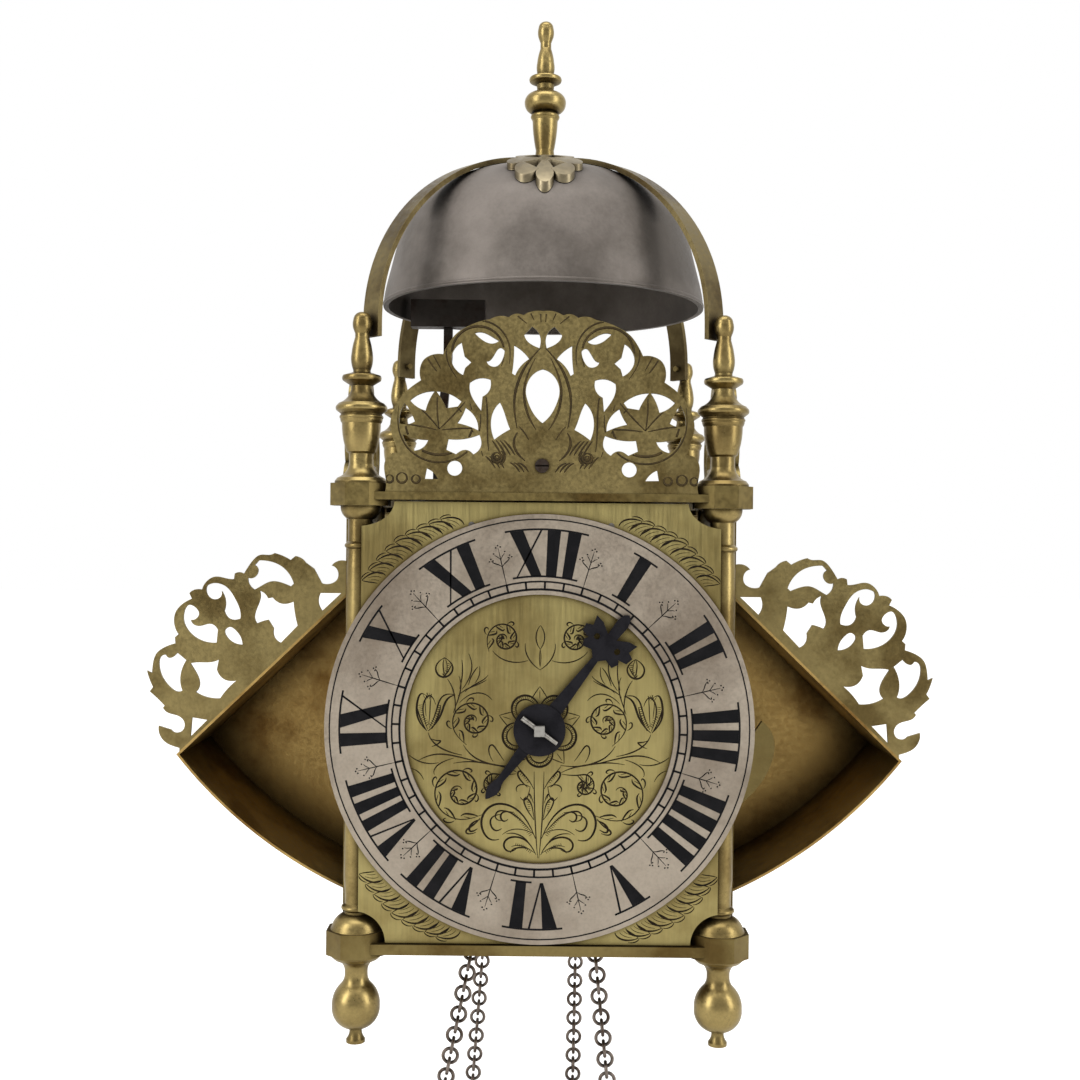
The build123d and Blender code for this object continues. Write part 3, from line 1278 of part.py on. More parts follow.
def dolphin_face():
    """Pierced fret of two dolphins with crossed tails, about its foot's middle."""
    right = [(0, 0, 1), (fret_half_width, 0, 1), (60.2, 4.4), (60.7, 11.3), (59.0, 14.2),
             (55.8, 15.0, 1), (57.7, 21.1), (58.7, 26.5), (57.5, 31.4), (55.3, 35.8),
             (51.9, 39.5), (47.0, 43.1, 1), (47.5, 47.1), (46.0, 51.0), (43.0, 52.9),
             (38.6, 53.2, 1), (36.2, 57.8), (33.2, 61.5), (29.3, 64.0), (25.4, 65.7),
             (20.5, 66.9, 1), (16.5, 68.2), (13.4, 67.7, 1), (10.7, 69.1), (7.7, 68.6, 1),
             (4.3, 70.1), (0, 70.2, 1)]
    half = cut_shape(right)
    holes = [
        [(31.5, 57.8, 1), (34.7, 54.4), (35.3, 51.0), (33.7, 47.5), (30.8, 45.3, 1),
         (30.0, 48.0, 1), (27.6, 50.2, 1), (30.3, 52.5, 1)],
        [(26.4, 61.5, 1), (23.4, 61.8), (20.0, 60.3), (17.0, 58.6, 1), (20.0, 57.5),
         (23.4, 58.8)],
        [(14.9, 54.9, 1), (16.6, 55.9), (19.0, 52.9), (21.7, 50.7, 1), (20.5, 49.0),
         (18.0, 48.7), (16.1, 50.5)],
        [(28.1, 42.4, 1), (24.4, 44.1), (20.2, 43.6, 1), (20.7, 39.2), (23.2, 37.0, 1),
         (23.7, 31.6, 1), (26.4, 35.3), (28.1, 39.2)],
        [(11.2, 56.9, 1), (8.2, 54.9), (5.3, 51.7, 1), (8.5, 49.0), (10.7, 45.3, 1),
         (11.9, 46.1, 1), (11.3, 51.5)],
        [(16.5, 34.8, 1), (19.0, 31.4), (19.9, 26.5), (18.5, 20.5, 1), (15.8, 22.5),
         (12.4, 24.5, 1), (14.1, 28.9), (15.3, 32.4)],
        [(7.3, 61.0, 1), (4.3, 64.2, 1), (1.9, 62.0), (1.4, 55.9, 1), (3.8, 56.9),
         (6.3, 58.8)],
        [(51.1, 35.3, 1), (48.0, 37.5), (41.7, 38.9, 1), (43.8, 35.3), (45.1, 31.4, 1),
         (48.0, 32.6)],
        [(41.0, 38.9, 1), (36.2, 38.0), (31.3, 35.0, 1), (32.7, 33.1, 1), (37.2, 32.4, 1),
         (38.6, 35.3)],
        [(53.1, 34.3, 1), (54.8, 30.9), (55.3, 26.4, 1), (51.9, 26.1), (49.2, 27.2, 1),
         (50.9, 30.9)],
        [(29.7, 32.6, 1), (26.6, 29.9), (24.9, 26.2), (24.8, 24.0, 1), (28.3, 25.5),
         (32.8, 26.7, 1), (30.8, 29.9)],
        [(53.8, 22.3, 1), (49.9, 20.8), (44.0, 20.1, 1), (45.5, 17.6), (49.2, 15.9, 1),
         (52.4, 18.6)],
        [(36.2, 20.5, 1), (30.3, 20.6), (24.3, 22.3, 1), (23.9, 17.2), (26.5, 14.7, 1),
         (28.8, 16.3), (33.2, 14.7, 1), (37.0, 16.4, 1)],
        [(44.5, 9.1, 1), (45.2, 5.1, 1), (40.0, 5.0, 1), (42.0, 7.6)]]
    for hole in holes:
        half = half - cut_shape(hole)
    half = half - Pos(33.7, 9.3) * Circle(2.9)
    both = half + mirror(half, about=Plane.YZ)
    almond = cut_shape([(0, 47.8, 1), (4.8, 44.6), (6.5, 39.2), (5.5, 34.8), (3.3, 30.4),
                        (0, 27.0, 1), (-3.3, 30.4), (-5.5, 34.8), (-6.5, 39.2), (-4.8, 44.6)])
    return both - almond


def side_fret_face():
    """Plainer side fret: a leafy crest between two scrolls."""
    right = [(0, 0, 1), (56.0, 0, 1), (56.5, 8.0), (51.0, 13.0, 1), (53.5, 21.0), (51.0, 30.0),
             (43.0, 36.0, 1), (44.0, 42.0), (38.0, 47.0), (31.0, 46.0, 1), (26.0, 53.0),
             (17.0, 56.5, 1), (12.0, 59.5), (8.0, 59.0, 1), (4.0, 61.5), (0, 61.5, 1)]
    half = cut_shape(right)
    holes = [
        [(48.5, 29.0, 1), (41.5, 33.0), (36.0, 30.0, 1), (41.0, 26.5)],
        [(49.5, 25.0, 1), (49.5, 19.0), (45.0, 15.5, 1), (44.5, 21.5)],
        [(41.0, 15.0, 1), (33.0, 14.5), (28.5, 19.0, 1), (33.0, 22.5), (39.5, 21.0)],
        [(26.0, 23.0, 1), (30.0, 29.0), (29.0, 37.0, 1), (23.0, 33.0), (21.5, 27.0)],
        [(33.0, 42.0, 1), (26.0, 46.0), (19.0, 44.0, 1), (21.5, 39.0), (28.5, 39.5)],
        [(19.0, 50.5, 1), (13.0, 52.0), (9.0, 47.5, 1), (14.0, 45.0)],
        [(18.0, 38.0, 1), (12.5, 41.5), (8.0, 37.0), (8.5, 30.0), (13.5, 27.0, 1), (18.0, 31.0)],
        [(5.5, 54.0, 1), (2.0, 55.5), (1.6, 50.0, 1), (4.5, 49.0)]]
    for hole in holes:
        half = half - cut_shape(hole)
    half = half - Pos(31.0, 7.5) * Circle(2.6)
    return half + mirror(half, about=Plane.YZ)


def make_front_fret():
    face = Pos(0, top_plate_z1) * dolphin_face()
    piece = sheet_y(face, fret_front_y, fret_back_y)
    return piece - rod_y(0, top_plate_z1 + fret_screw_height, fret_screw_radius + bore_gap,
                         fret_front_y - 1, fret_back_y + 1)


def make_side_fret(turn):
    face = Pos(0, top_plate_z1) * side_fret_face()
    piece = sheet_y(face, fret_front_y, fret_back_y)
    piece = piece - rod_y(0, top_plate_z1 + fret_screw_height, fret_screw_radius + bore_gap,
                          fret_front_y - 1, fret_back_y + 1)
    return Rot(0, 0, turn) * piece


def make_fret_screws():
    """One slotted screw through each fret into its lug."""
    z = top_plate_z1 + fret_screw_height
    screws = []
    for turn in (0, 90, -90):
        head = rod_y(0, z, 2.7, fret_front_y - 1.3, fret_front_y)
        head = head - block(-3, 3, fret_front_y - 2, fret_front_y - 0.7, z - 0.35, z + 0.35)
        shank = rod_y(0, z, fret_screw_radius, fret_front_y - 0.2,
                      fret_back_y + lug_depth + 0.6)
        screws.append(Rot(0, 0, turn) * (head + shank))
    return screws


# ------------------------------------------------------------------ bell and strap
def bell_section(grow):
    """Half section of the bell's outside from the rim's height up, grown outwards."""
    r = bell_radius + grow
    z = bell_rim_height
    h = bell_rise + grow
    return [(r, z), (r * 0.959, z + h * 0.25), (r * 0.909, z + h * 0.475),
            (r * 0.840, z + h * 0.665), (r * 0.728, z + h * 0.80), (r * 0.603, z + h * 0.895),
            (r * 0.448, z + h * 0.958), (r * 0.22, z + h * 0.992), (0, z + h)]


def bell_solid(grow, z_low):
    """Round solid under the bell's outside, grown by an amount."""
    points = bell_section(grow)
    curve = Spline(*[(r, 0, z) for r, z in points], tangents=((-0.05, 0, 1), (-1, 0, 0)))
    top = points[-1][1]
    edges = [curve, Line((0, 0, top), (0, 0, z_low)),
             Line((0, 0, z_low), (points[0][0], 0, z_low))]
    if z_low < points[0][1]:
        edges.append(Line((points[0][0], 0, z_low), (points[0][0], 0, points[0][1])))
    return revolve(make_face(edges), Axis.Z)


def make_bell():
    outside = bell_solid(0, bell_rim_height)
    inside = bell_solid(-bell_wall, bell_rim_height - 3)
    lip = Pos(0, 0, bell_rim_height + 1.1) * Torus(bell_radius - 0.7, 0.9)
    bell = outside - inside + lip
    return bell - rod_z(0, 0, bolt_radius + bore_gap, bell_rim_height, bell_rim_height + 90)


saddle_gap = 0.3
saddle_reach = bell_radius - 24.7
lobe_circle = 9.6
lobe_radius = 5.0
bell_top_z = bell_rim_height + bell_rise
saddle_top_z = bell_top_z + saddle_gap + saddle_thickness


def quatrefoil():
    """Flat pierced quatrefoil with eight lobes and four triangular openings."""
    face = Circle(lobe_circle)
    for lobe in range(8):
        turn = lobe * 45
        size = lobe_radius if lobe % 2 else lobe_radius * 0.72
        reach = lobe_circle + (0.6 if lobe % 2 else 2.4)
        face = face + Rot(0, 0, turn) * Pos(reach, 0) * Circle(size)
    for hole in range(4):
        tri = Polyline((2.6, 1.2), (8.6, 3.4), (3.4, 8.6), (1.2, 2.6), close=True)
        face = face - Rot(0, 0, hole * 90) * make_face(tri)
    return face


def make_saddle():
    """Pierced saddle that lies on the bell's crown under the strap: a quatrefoil in front
    and one behind, joined by a bar through which the bell's bolt passes."""
    plan = Rectangle(9.0, 2 * saddle_reach - 2 * lobe_circle) + Circle(9.0)
    for side in (-1, 1):
        plan = plan + Pos(0, side * saddle_reach) * quatrefoil()
    column = extrude(Pos(0, 0, bell_rim_height + 20) * plan, amount=60)
    upper = bell_solid(saddle_gap + saddle_thickness, bell_rim_height)
    lower = bell_solid(saddle_gap, bell_rim_height - 1)
    piece = column & (upper - lower)
    return piece - rod_z(0, 0, bolt_radius + bore_gap, bell_rim_height, bell_rim_height + 90)


strap_low_z = saddle_top_z + saddle_gap
strap_top_z = strap_low_z + strap_thickness
strap_rise = strap_low_z + strap_thickness / 2 - strap_spring_height
strap_hub_half = 7.0


def make_strap():
    """Four arched legs from the crown of the bell down to the corner finials."""
    half = strap_thickness / 2
    wide = strap_width / 2
    ring = Ellipse(strap_reach + half, strap_rise + half)
    ring = ring - Ellipse(strap_reach - half, strap_rise - half)
    span = sheet_y(Pos(0, strap_spring_height) * ring, -wide, wide)
    outer = strap_reach + strap_thickness
    below = strap_spring_height - strap_rise - strap_thickness
    span = span - block(-outer, outer, -wide - 1, wide + 1, below, strap_spring_height)
    span = span + [block(side * strap_reach - half, side * strap_reach + half, -wide, wide,
                         strap_foot_height, strap_spring_height) for side in (-1, 1)]
    peg_hole = Rot(0, 90, 0) * Cylinder(peg_radius + bore_gap, 3 * strap_reach)
    peg_hole = Pos(0, 0, peg_height) * peg_hole
    span = span - peg_hole
    legs = span - block(-strap_hub_half, strap_hub_half, -wide - 1, wide + 1, strap_low_z - 9,
                        strap_top_z + 9)
    strap = rod_z(0, 0, strap_hub_half + 2.5, strap_low_z, strap_top_z)
    for turn in (45, -45):
        strap = strap + [Rot(0, 0, turn) * leg for leg in legs.solids()]
    return strap - rod_z(0, 0, bolt_radius + bore_gap, strap_low_z - 9, strap_top_z + 9)


bolt_nut_half = 5.5


def make_bell_bolt():
    """Bolt with a square head inside the bell; the top finial screws on its end."""
    inside_z = bell_top_z - bell_wall - 0.2
    head = block(-bolt_nut_half, bolt_nut_half, -bolt_nut_half, bolt_nut_half, inside_z - 4,
                 inside_z - 0.6)
    shank = rod_z(0, 0, bolt_radius, inside_z - 1, strap_top_z + 8)
    return head + shank


def make_top_finial():
    """Tall finial: urn, ball, thin flange and knob."""
    z = strap_top_z + 0.1
    finial = turned([(4.4, z), (4.0, z + 6.0, 0.1), (5.6, z + 19.2, 0.3), (6.1, z + 20.2),
                     (6.1, z + 21.8, 0.3), (4.6, z + 22.8), (9.1, z + 26.4, 1.2),
                     (4.4, z + 31.6, 1.8), (3.7, z + 33.2), (3.9, z + 35.2), (6.9, z + 36.6),
                     (6.9, z + 38.4, 0.3), (3.6, z + 40.0), (3.8, z + 45.0, 0.3),
                     (2.4, z + 51.4, 0.2), (2.4, z + 54.0), (3.3, z + 56.4),
                     (3.3, z + 60.6, 0.3), (1.4, z + 63.2, 0.5), (0, z + 63.5)])
    return finial - rod_z(0, 0, bolt_radius + bore_gap, z - 1, z + 9)


# ------------------------------------------------------------------ back of the clock
back_sheet_y = -dial_back_y


def make_back_plate():
    """Iron back sheet between the pillars, with bites round the bosses."""
    z0 = bottom_plate_z1 + dial_edge_gap / 2
    z1 = top_plate_z0 - dial_edge_gap
    face = Pos(0, (z0 + z1) / 2) * Rectangle(dial_width, z1 - z0)
    for side in (-1, 1):
        for z in (z0, z1):
            face = face - Pos(side * pillar_half, z) * Circle(boss_width / 2 + 3.0)
        face = face - Pos(side * spur_x, spur_z) * Circle(spur_radius + bore_gap)
    return sheet_y(face, back_sheet_y, back_sheet_y + back_plate_thickness)


spur_x = 52.0
spur_z = bottom_plate_z1 + 21.2
spur_radius = 1.8


def make_spurs():
    """Two spikes through the back sheet that press on the wall."""
    spurs = []
    for side in (-1, 1):
        y = back_sheet_y
        shank = rod_y(side * spur_x, spur_z, spur_radius, y - 1.2, y + back_plate_thickness + 6)
        head = rod_y(side * spur_x, spur_z, spur_radius + 1.4, y - 2.4, y)
        collar = rod_y(side * spur_x, spur_z, spur_radius + 1.4, y + back_plate_thickness,
                       y + back_plate_thickness + 1.4)
        tip_y = y + back_plate_thickness + 6
        point = Pos(side * spur_x, tip_y + (spur_length - 6) / 2, spur_z) * Rot(-90, 0, 0) * Cone(
            spur_radius, 0.3, spur_length - 6)
        spurs.append(shank + head + collar + point)
    return spurs


def make_hoop():
    """Iron hanging hoop; its tang lies on the top plate's back edge under two rivets."""
    z0 = top_plate_z1
    outline = Pos(0, hoop_centre_y) * Circle(hoop_radius + hoop_band)
    tang_y0 = plate_half - 10.0
    outline = outline + Pos(0, (tang_y0 + hoop_centre_y) / 2) * Rectangle(
        15.0, hoop_centre_y - tang_y0)
    outline = outline - Pos(0, hoop_centre_y) * Circle(hoop_radius)
    hoop = Pos(0, 0, z0) * extrude(outline, amount=hoop_height)
    rivets = []
    for side in (-1, 1):
        x = side * tang_rivet_x
        hoop = hoop - rod_z(x, tang_rivet_y, tang_rivet_radius + bore_gap, z0 - 1,
                            z0 + hoop_height + 1)
        head = rod_z(x, tang_rivet_y, tang_rivet_radius + 1.1, z0 + hoop_height,
                     z0 + hoop_height + 1.2)
        shank = rod_z(x, tang_rivet_y, tang_rivet_radius, top_plate_z0, z0 + hoop_height + 1)
        rivets.append(head + shank)
    return [hoop] + rivets


def main():
    save("bottom_plate", make_bottom_plate())
    save("top_plate", make_top_plate())
    save("corner_pillars", solids_of(make_pillars()))
    save("ball_feet", solids_of(make_feet()))
    save("corner_finials", solids_of(make_corner_finials()))
    front, middle, strike_front, back = make_bars()
    save("front_bar", front)
    save("going_back_bar", middle)
    save("strike_front_bar", strike_front)
    save("back_bar", back)
    save("bar_wedges", solids_of(make_wedges()))
    save("dial_plate", make_dial_plate())
    save("dial_latches", solids_of(make_latches()))
    save("chapter_ring", make_chapter_ring())
    save("hour_hand", make_hour_hand())
    save("hand_pin", hand_pin_blank(0))
    save("hour_arbor", make_hour_arbor())
    save("hour_wheel", make_hour_wheel())
    save("going_great_wheel", make_going_great_wheel())
    save("going_great_arbor", make_going_great_arbor())
    save("going_chain_sprocket", sprocket(going_chain_y))
    save("going_second_wheel", make_second_wheel())
    save("contrate_wheel", make_contrate_wheel())
    save("crown_wheel", make_crown_wheel())
    save("verge_cocks", solids_of(make_verge_cocks()))
    save("verge_staff", make_verge())
    save("pendulum_rod", make_pendulum_rod())
    save("anchor_bob", make_anchor_bob())
    save("strike_great_wheel", make_strike_great_wheel())
    save("strike_great_arbor", make_strike_great_arbor())
    save("strike_chain_sprocket", sprocket(strike_chain_y))
    save("count_wheel", make_count_wheel())
    save("hoop_wheel", make_hoop_wheel())
    save("warning_wheel", make_warning_wheel())
    save("fly", make_fly())
    save("hammer", make_hammer())
    save("hammer_spring", make_hammer_spring())
    save("lifting_detent", make_lifting_detent())
    save("locking_detent", make_locking_detent())
    rings = []
    for name, y, run in (("going_chain", going_chain_y, going_chain_run),
                         ("strike_chain", strike_chain_y, strike_chain_run)):
        links, ends = make_chain(y, run)
        save(name, solids_of(links))
        rings += [chain_end_ring(y, end) for end in ends.values()]
    save("chain_end_rings", solids_of(rings))
    for side, copy in (("right", lambda piece: piece), ("left", mirrored)):
        save(side + "_side_door", copy(make_side_door()))
        save(side + "_wing_box", copy(make_wing_box()))
        save(side + "_wing_fret", copy(make_wing_fret()))
    save("front_fret", make_front_fret())
    save("right_fret", make_side_fret(90))
    save("left_fret", make_side_fret(-90))
    save("fret_screws", solids_of(make_fret_screws()))
    save("bell", make_bell())
    save("bell_saddle", make_saddle())
    save("bell_strap", make_strap())
    save("bell_bolt", make_bell_bolt())
    save("top_finial", make_top_finial())
    save("back_plate", make_back_plate())
    save("wall_spurs", solids_of(make_spurs()))
    save("hanging_hoop", solids_of(make_hoop()))


os.makedirs("parts", exist_ok=True)
main()
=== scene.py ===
# %% [markdown]
# # A lantern clock with side wings
#
# This lesson dresses a finished CAD model of a brass lantern clock. The solids carry the
# sizes and the movement. Blender adds what a metalworker's graver, file and hand leave on
# them: filled numerals, engraved scrolls, patina, wear and soft studio light.

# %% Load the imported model
import json
import math

import bmesh
import bpy
from mathutils import Matrix, Vector
from mathutils.bvhtree import BVHTree


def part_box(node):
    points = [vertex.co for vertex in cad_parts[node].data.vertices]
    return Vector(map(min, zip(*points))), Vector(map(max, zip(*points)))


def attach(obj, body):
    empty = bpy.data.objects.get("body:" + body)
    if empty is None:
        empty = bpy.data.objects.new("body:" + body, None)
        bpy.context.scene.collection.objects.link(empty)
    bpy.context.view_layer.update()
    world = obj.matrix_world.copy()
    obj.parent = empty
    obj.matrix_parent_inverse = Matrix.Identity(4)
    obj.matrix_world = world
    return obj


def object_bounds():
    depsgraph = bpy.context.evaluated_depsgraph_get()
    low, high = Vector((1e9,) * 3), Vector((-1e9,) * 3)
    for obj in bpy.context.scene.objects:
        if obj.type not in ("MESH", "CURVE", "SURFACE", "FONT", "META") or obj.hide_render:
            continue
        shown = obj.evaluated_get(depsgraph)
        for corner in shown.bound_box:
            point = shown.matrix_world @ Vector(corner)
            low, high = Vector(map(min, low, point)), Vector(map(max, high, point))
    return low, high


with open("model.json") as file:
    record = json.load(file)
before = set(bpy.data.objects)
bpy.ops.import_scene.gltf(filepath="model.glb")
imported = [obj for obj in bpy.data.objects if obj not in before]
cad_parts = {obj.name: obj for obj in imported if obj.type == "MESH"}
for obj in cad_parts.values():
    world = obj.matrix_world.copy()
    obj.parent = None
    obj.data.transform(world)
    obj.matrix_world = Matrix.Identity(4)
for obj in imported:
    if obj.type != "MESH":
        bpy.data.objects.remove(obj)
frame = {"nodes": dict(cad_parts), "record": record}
nodes = frame["nodes"]
cad_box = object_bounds()

# %% [markdown]
# ## Where things are
#
# Every piece is placed in metres in the model's own frame, whose origin is the middle of
# the hanging hoop. A clockmaker thinks in millimetres from the middle of the dial, so a
# small helper turns one into the other. Depths are read from the solids themselves.

# %% Millimetres on the dial
MM = 0.001
dial_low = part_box("dial_plate")[0]
ring_low, ring_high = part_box("chapter_ring")
DIAL_X = 0.0
DIAL_Z = (ring_low.z + ring_high.z) / 2
DIAL_FRONT = dial_low.y
RING_FRONT = ring_low.y


def on_dial(radius, degrees):
    """Millimetres right of and above the dial's middle, clockwise from twelve."""
    turn = math.radians(degrees)
    return radius * math.sin(turn), radius * math.cos(turn)


def about(middle, radius, degrees):
    """The same about any other point of the dial."""
    x, z = on_dial(radius, degrees)
    return middle[0] + x, middle[1] + z


def in_metres(x, z):
    """A point given in millimetres from the dial's middle, in the model's own frame."""
    return Vector((DIAL_X + x * MM, 0.0, DIAL_Z + z * MM))


print("dial centre height", round(DIAL_Z, 4), "dial front", round(DIAL_FRONT, 4))

# %% [markdown]
# ## The camera
#
# The clock was photographed level and straight on, from about 60 cm. Such a short
# distance shows the underside of the bell and the insides of the wings, so distance
# matters more than focal length. The picture leans by a fraction of a degree.

# %% Set the camera
camera_data = bpy.data.cameras.new("camera")
camera_data.lens = 45.0
camera_data.sensor_width = 36.0
camera_data.clip_start = 0.01
camera = bpy.data.objects.new("camera", camera_data)
bpy.context.scene.collection.objects.link(camera)
camera.location = (-0.0005, -0.6938, -0.0196)
camera.rotation_euler = (math.radians(90.0), math.radians(-0.55), 0.0)
bpy.context.scene.camera = camera
bpy.context.scene.view_settings.view_transform = "Standard"
print("camera at", tuple(round(v, 3) for v in camera.location))

# %% [markdown]
# ## Studio
#
# Metal looks like what surrounds it. The backdrop is white where the camera or a mirror
# ray sees it behind the clock, and dimmer in front, where the photographer stands. Large
# soft lamps left, right and above draw the long highlights down the pillars.

# %% Build a shader from short lines
def add(tree, kind, inputs=None, **settings):
    """One shader node: its settings, and its inputs as values or as other nodes' outputs."""
    made = tree.nodes.new(kind)
    for key, value in settings.items():
        setattr(made, key, value)
    for key, value in (inputs or {}).items():
        if isinstance(value, bpy.types.NodeSocket):
            tree.links.new(value, made.inputs[key])
        else:
            made.inputs[key].default_value = value
    return made


def remap(tree, value, low, high, to_low, to_high, **settings):
    """The value, stretched from one range to another."""
    return add(tree, "ShaderNodeMapRange",
               {0: value, 1: low, 2: high, 3: to_low, 4: to_high}, **settings)


def blend(tree, share, first, second):
    """Two colours mixed. Inputs 6 and 7 of the node are the colours, output 2 the mix."""
    return add(tree, "ShaderNodeMix", {0: share, 6: first, 7: second}, data_type="RGBA")


def empty_tree(holder):
    """The node tree of a material or world, with nothing in it yet."""
    holder.use_nodes = True
    holder.node_tree.nodes.clear()
    return holder.node_tree


# %% Light the room
FRONT_LIGHT = 0.34
BACK_LIGHT = 0.95
SKY_LIGHT = 0.35
WARM_WHITE = (1.0, 0.99, 0.97, 1.0)
WHITE = (1.0, 1.0, 1.0, 1.0)

world = bpy.data.worlds.new("studio")
bpy.context.scene.world = world
room = empty_tree(world)
ray = add(room, "ShaderNodeLightPath")
toward = add(room, "ShaderNodeTexCoord")
split = add(room, "ShaderNodeSeparateXYZ", {0: toward.outputs["Generated"]})
depth = remap(room, split.outputs["Y"], -1.0, 1.0, FRONT_LIGHT, BACK_LIGHT)
lift = remap(room, split.outputs["Z"], -0.4, 1.0, 0.0, SKY_LIGHT)
level = add(room, "ShaderNodeMath", {0: depth.outputs[0], 1: lift.outputs[0]},
            operation="ADD")
around = add(room, "ShaderNodeBackground", {"Color": WARM_WHITE,
                                            "Strength": level.outputs[0]})
white = add(room, "ShaderNodeBackground", {"Color": WHITE, "Strength": 1.0})
seen = add(room, "ShaderNodeMath", {0: ray.outputs["Is Camera Ray"],
                                    1: ray.outputs["Is Transmission Ray"]},
           operation="MAXIMUM")
choose = add(room, "ShaderNodeMixShader", {0: seen.outputs[0], 1: around.outputs[0],
                                           2: white.outputs[0]})
add(room, "ShaderNodeOutputWorld", {0: choose.outputs[0]})


def soft_lamp(name, place, aim, width, height, power):
    """Rectangular soft lamp that looks at a point."""
    data = bpy.data.lights.new(name, "AREA")
    data.shape = "RECTANGLE"
    data.size = width
    data.size_y = height
    data.energy = power
    lamp = bpy.data.objects.new(name, data)
    bpy.context.scene.collection.objects.link(lamp)
    lamp.location = place
    lamp.rotation_euler = (Vector(aim) - Vector(place)).to_track_quat("-Z", "Y").to_euler()
    return lamp


MIDDLE = (0.0, -0.09, 0.0)
soft_lamp("lamp_left", (-1.1, -0.9, 0.5), MIDDLE, 0.5, 1.2, 11.0)
soft_lamp("lamp_right", (1.15, -0.75, 0.35), MIDDLE, 0.4, 1.2, 8.0)
soft_lamp("lamp_top", (0.0, -0.5, 1.3), MIDDLE, 1.2, 0.6, 9.0)

# %% [markdown]
# ## A pale floor
#
# The clock hangs, so the floor only has to lie under the ends of its chains. Camera rays
# see it lit up to the white of the backdrop, and it still takes the clock's soft shadow.

# %% Lay the floor
FLOOR_HALF_WIDTH = 6.0
FLOOR_Z = cad_box[0][2] - 2 * MM

floor_mesh = bpy.data.meshes.new("floor")
sheet = bmesh.new()
bmesh.ops.create_grid(sheet, x_segments=1, y_segments=1, size=FLOOR_HALF_WIDTH)
bmesh.ops.translate(sheet, verts=sheet.verts, vec=(0, 0, FLOOR_Z))
sheet.to_mesh(floor_mesh)
sheet.free()
floor = bpy.data.objects.new("floor", floor_mesh)
bpy.context.scene.collection.objects.link(floor)
floor_look = bpy.data.materials.new("pale_floor")
tree = empty_tree(floor_look)
matt = add(tree, "ShaderNodeBsdfDiffuse", {"Color": (0.82, 0.82, 0.82, 1.0)})
glow = add(tree, "ShaderNodeEmission", {"Color": WHITE, "Strength": 0.45})
both = add(tree, "ShaderNodeAddShader", {0: matt.outputs[0], 1: glow.outputs[0]})
ray = add(tree, "ShaderNodeLightPath")
pick = add(tree, "ShaderNodeMixShader", {0: ray.outputs["Is Camera Ray"], 1: matt.outputs[0],
                                         2: both.outputs[0]})
add(tree, "ShaderNodeOutputMaterial", {0: pick.outputs[0]})
floor_mesh.materials.append(floor_look)
print("floor at", round(FLOOR_Z, 4))

# %% [markdown]
# ## Old metal
#
# All the finishes are one recipe with other numbers. A large noise lays patches of
# tarnish over the clean metal, a fine one varies the polish, ambient occlusion finds the
# corners where brushes never reach and darkens them, partly with dirt and partly as painted
# shade, and a shallow bump keeps the surface from looking like plastic. Rubbed edges are
# painted lighter, as wear and as a painted highlight. Everything reads Object coordinates,
# so nothing slides when a piece moves.

# %% One recipe for all metals
def rgb(text):
    """Colour written as six hex digits, as a shader wants it."""
    parts = [int(text[i:i + 2], 16) / 255 for i in (0, 2, 4)]
    line = [p / 12.92 if p <= 0.04045 else ((p + 0.055) / 1.055) ** 2.4 for p in parts]
    return (*line, 1.0)


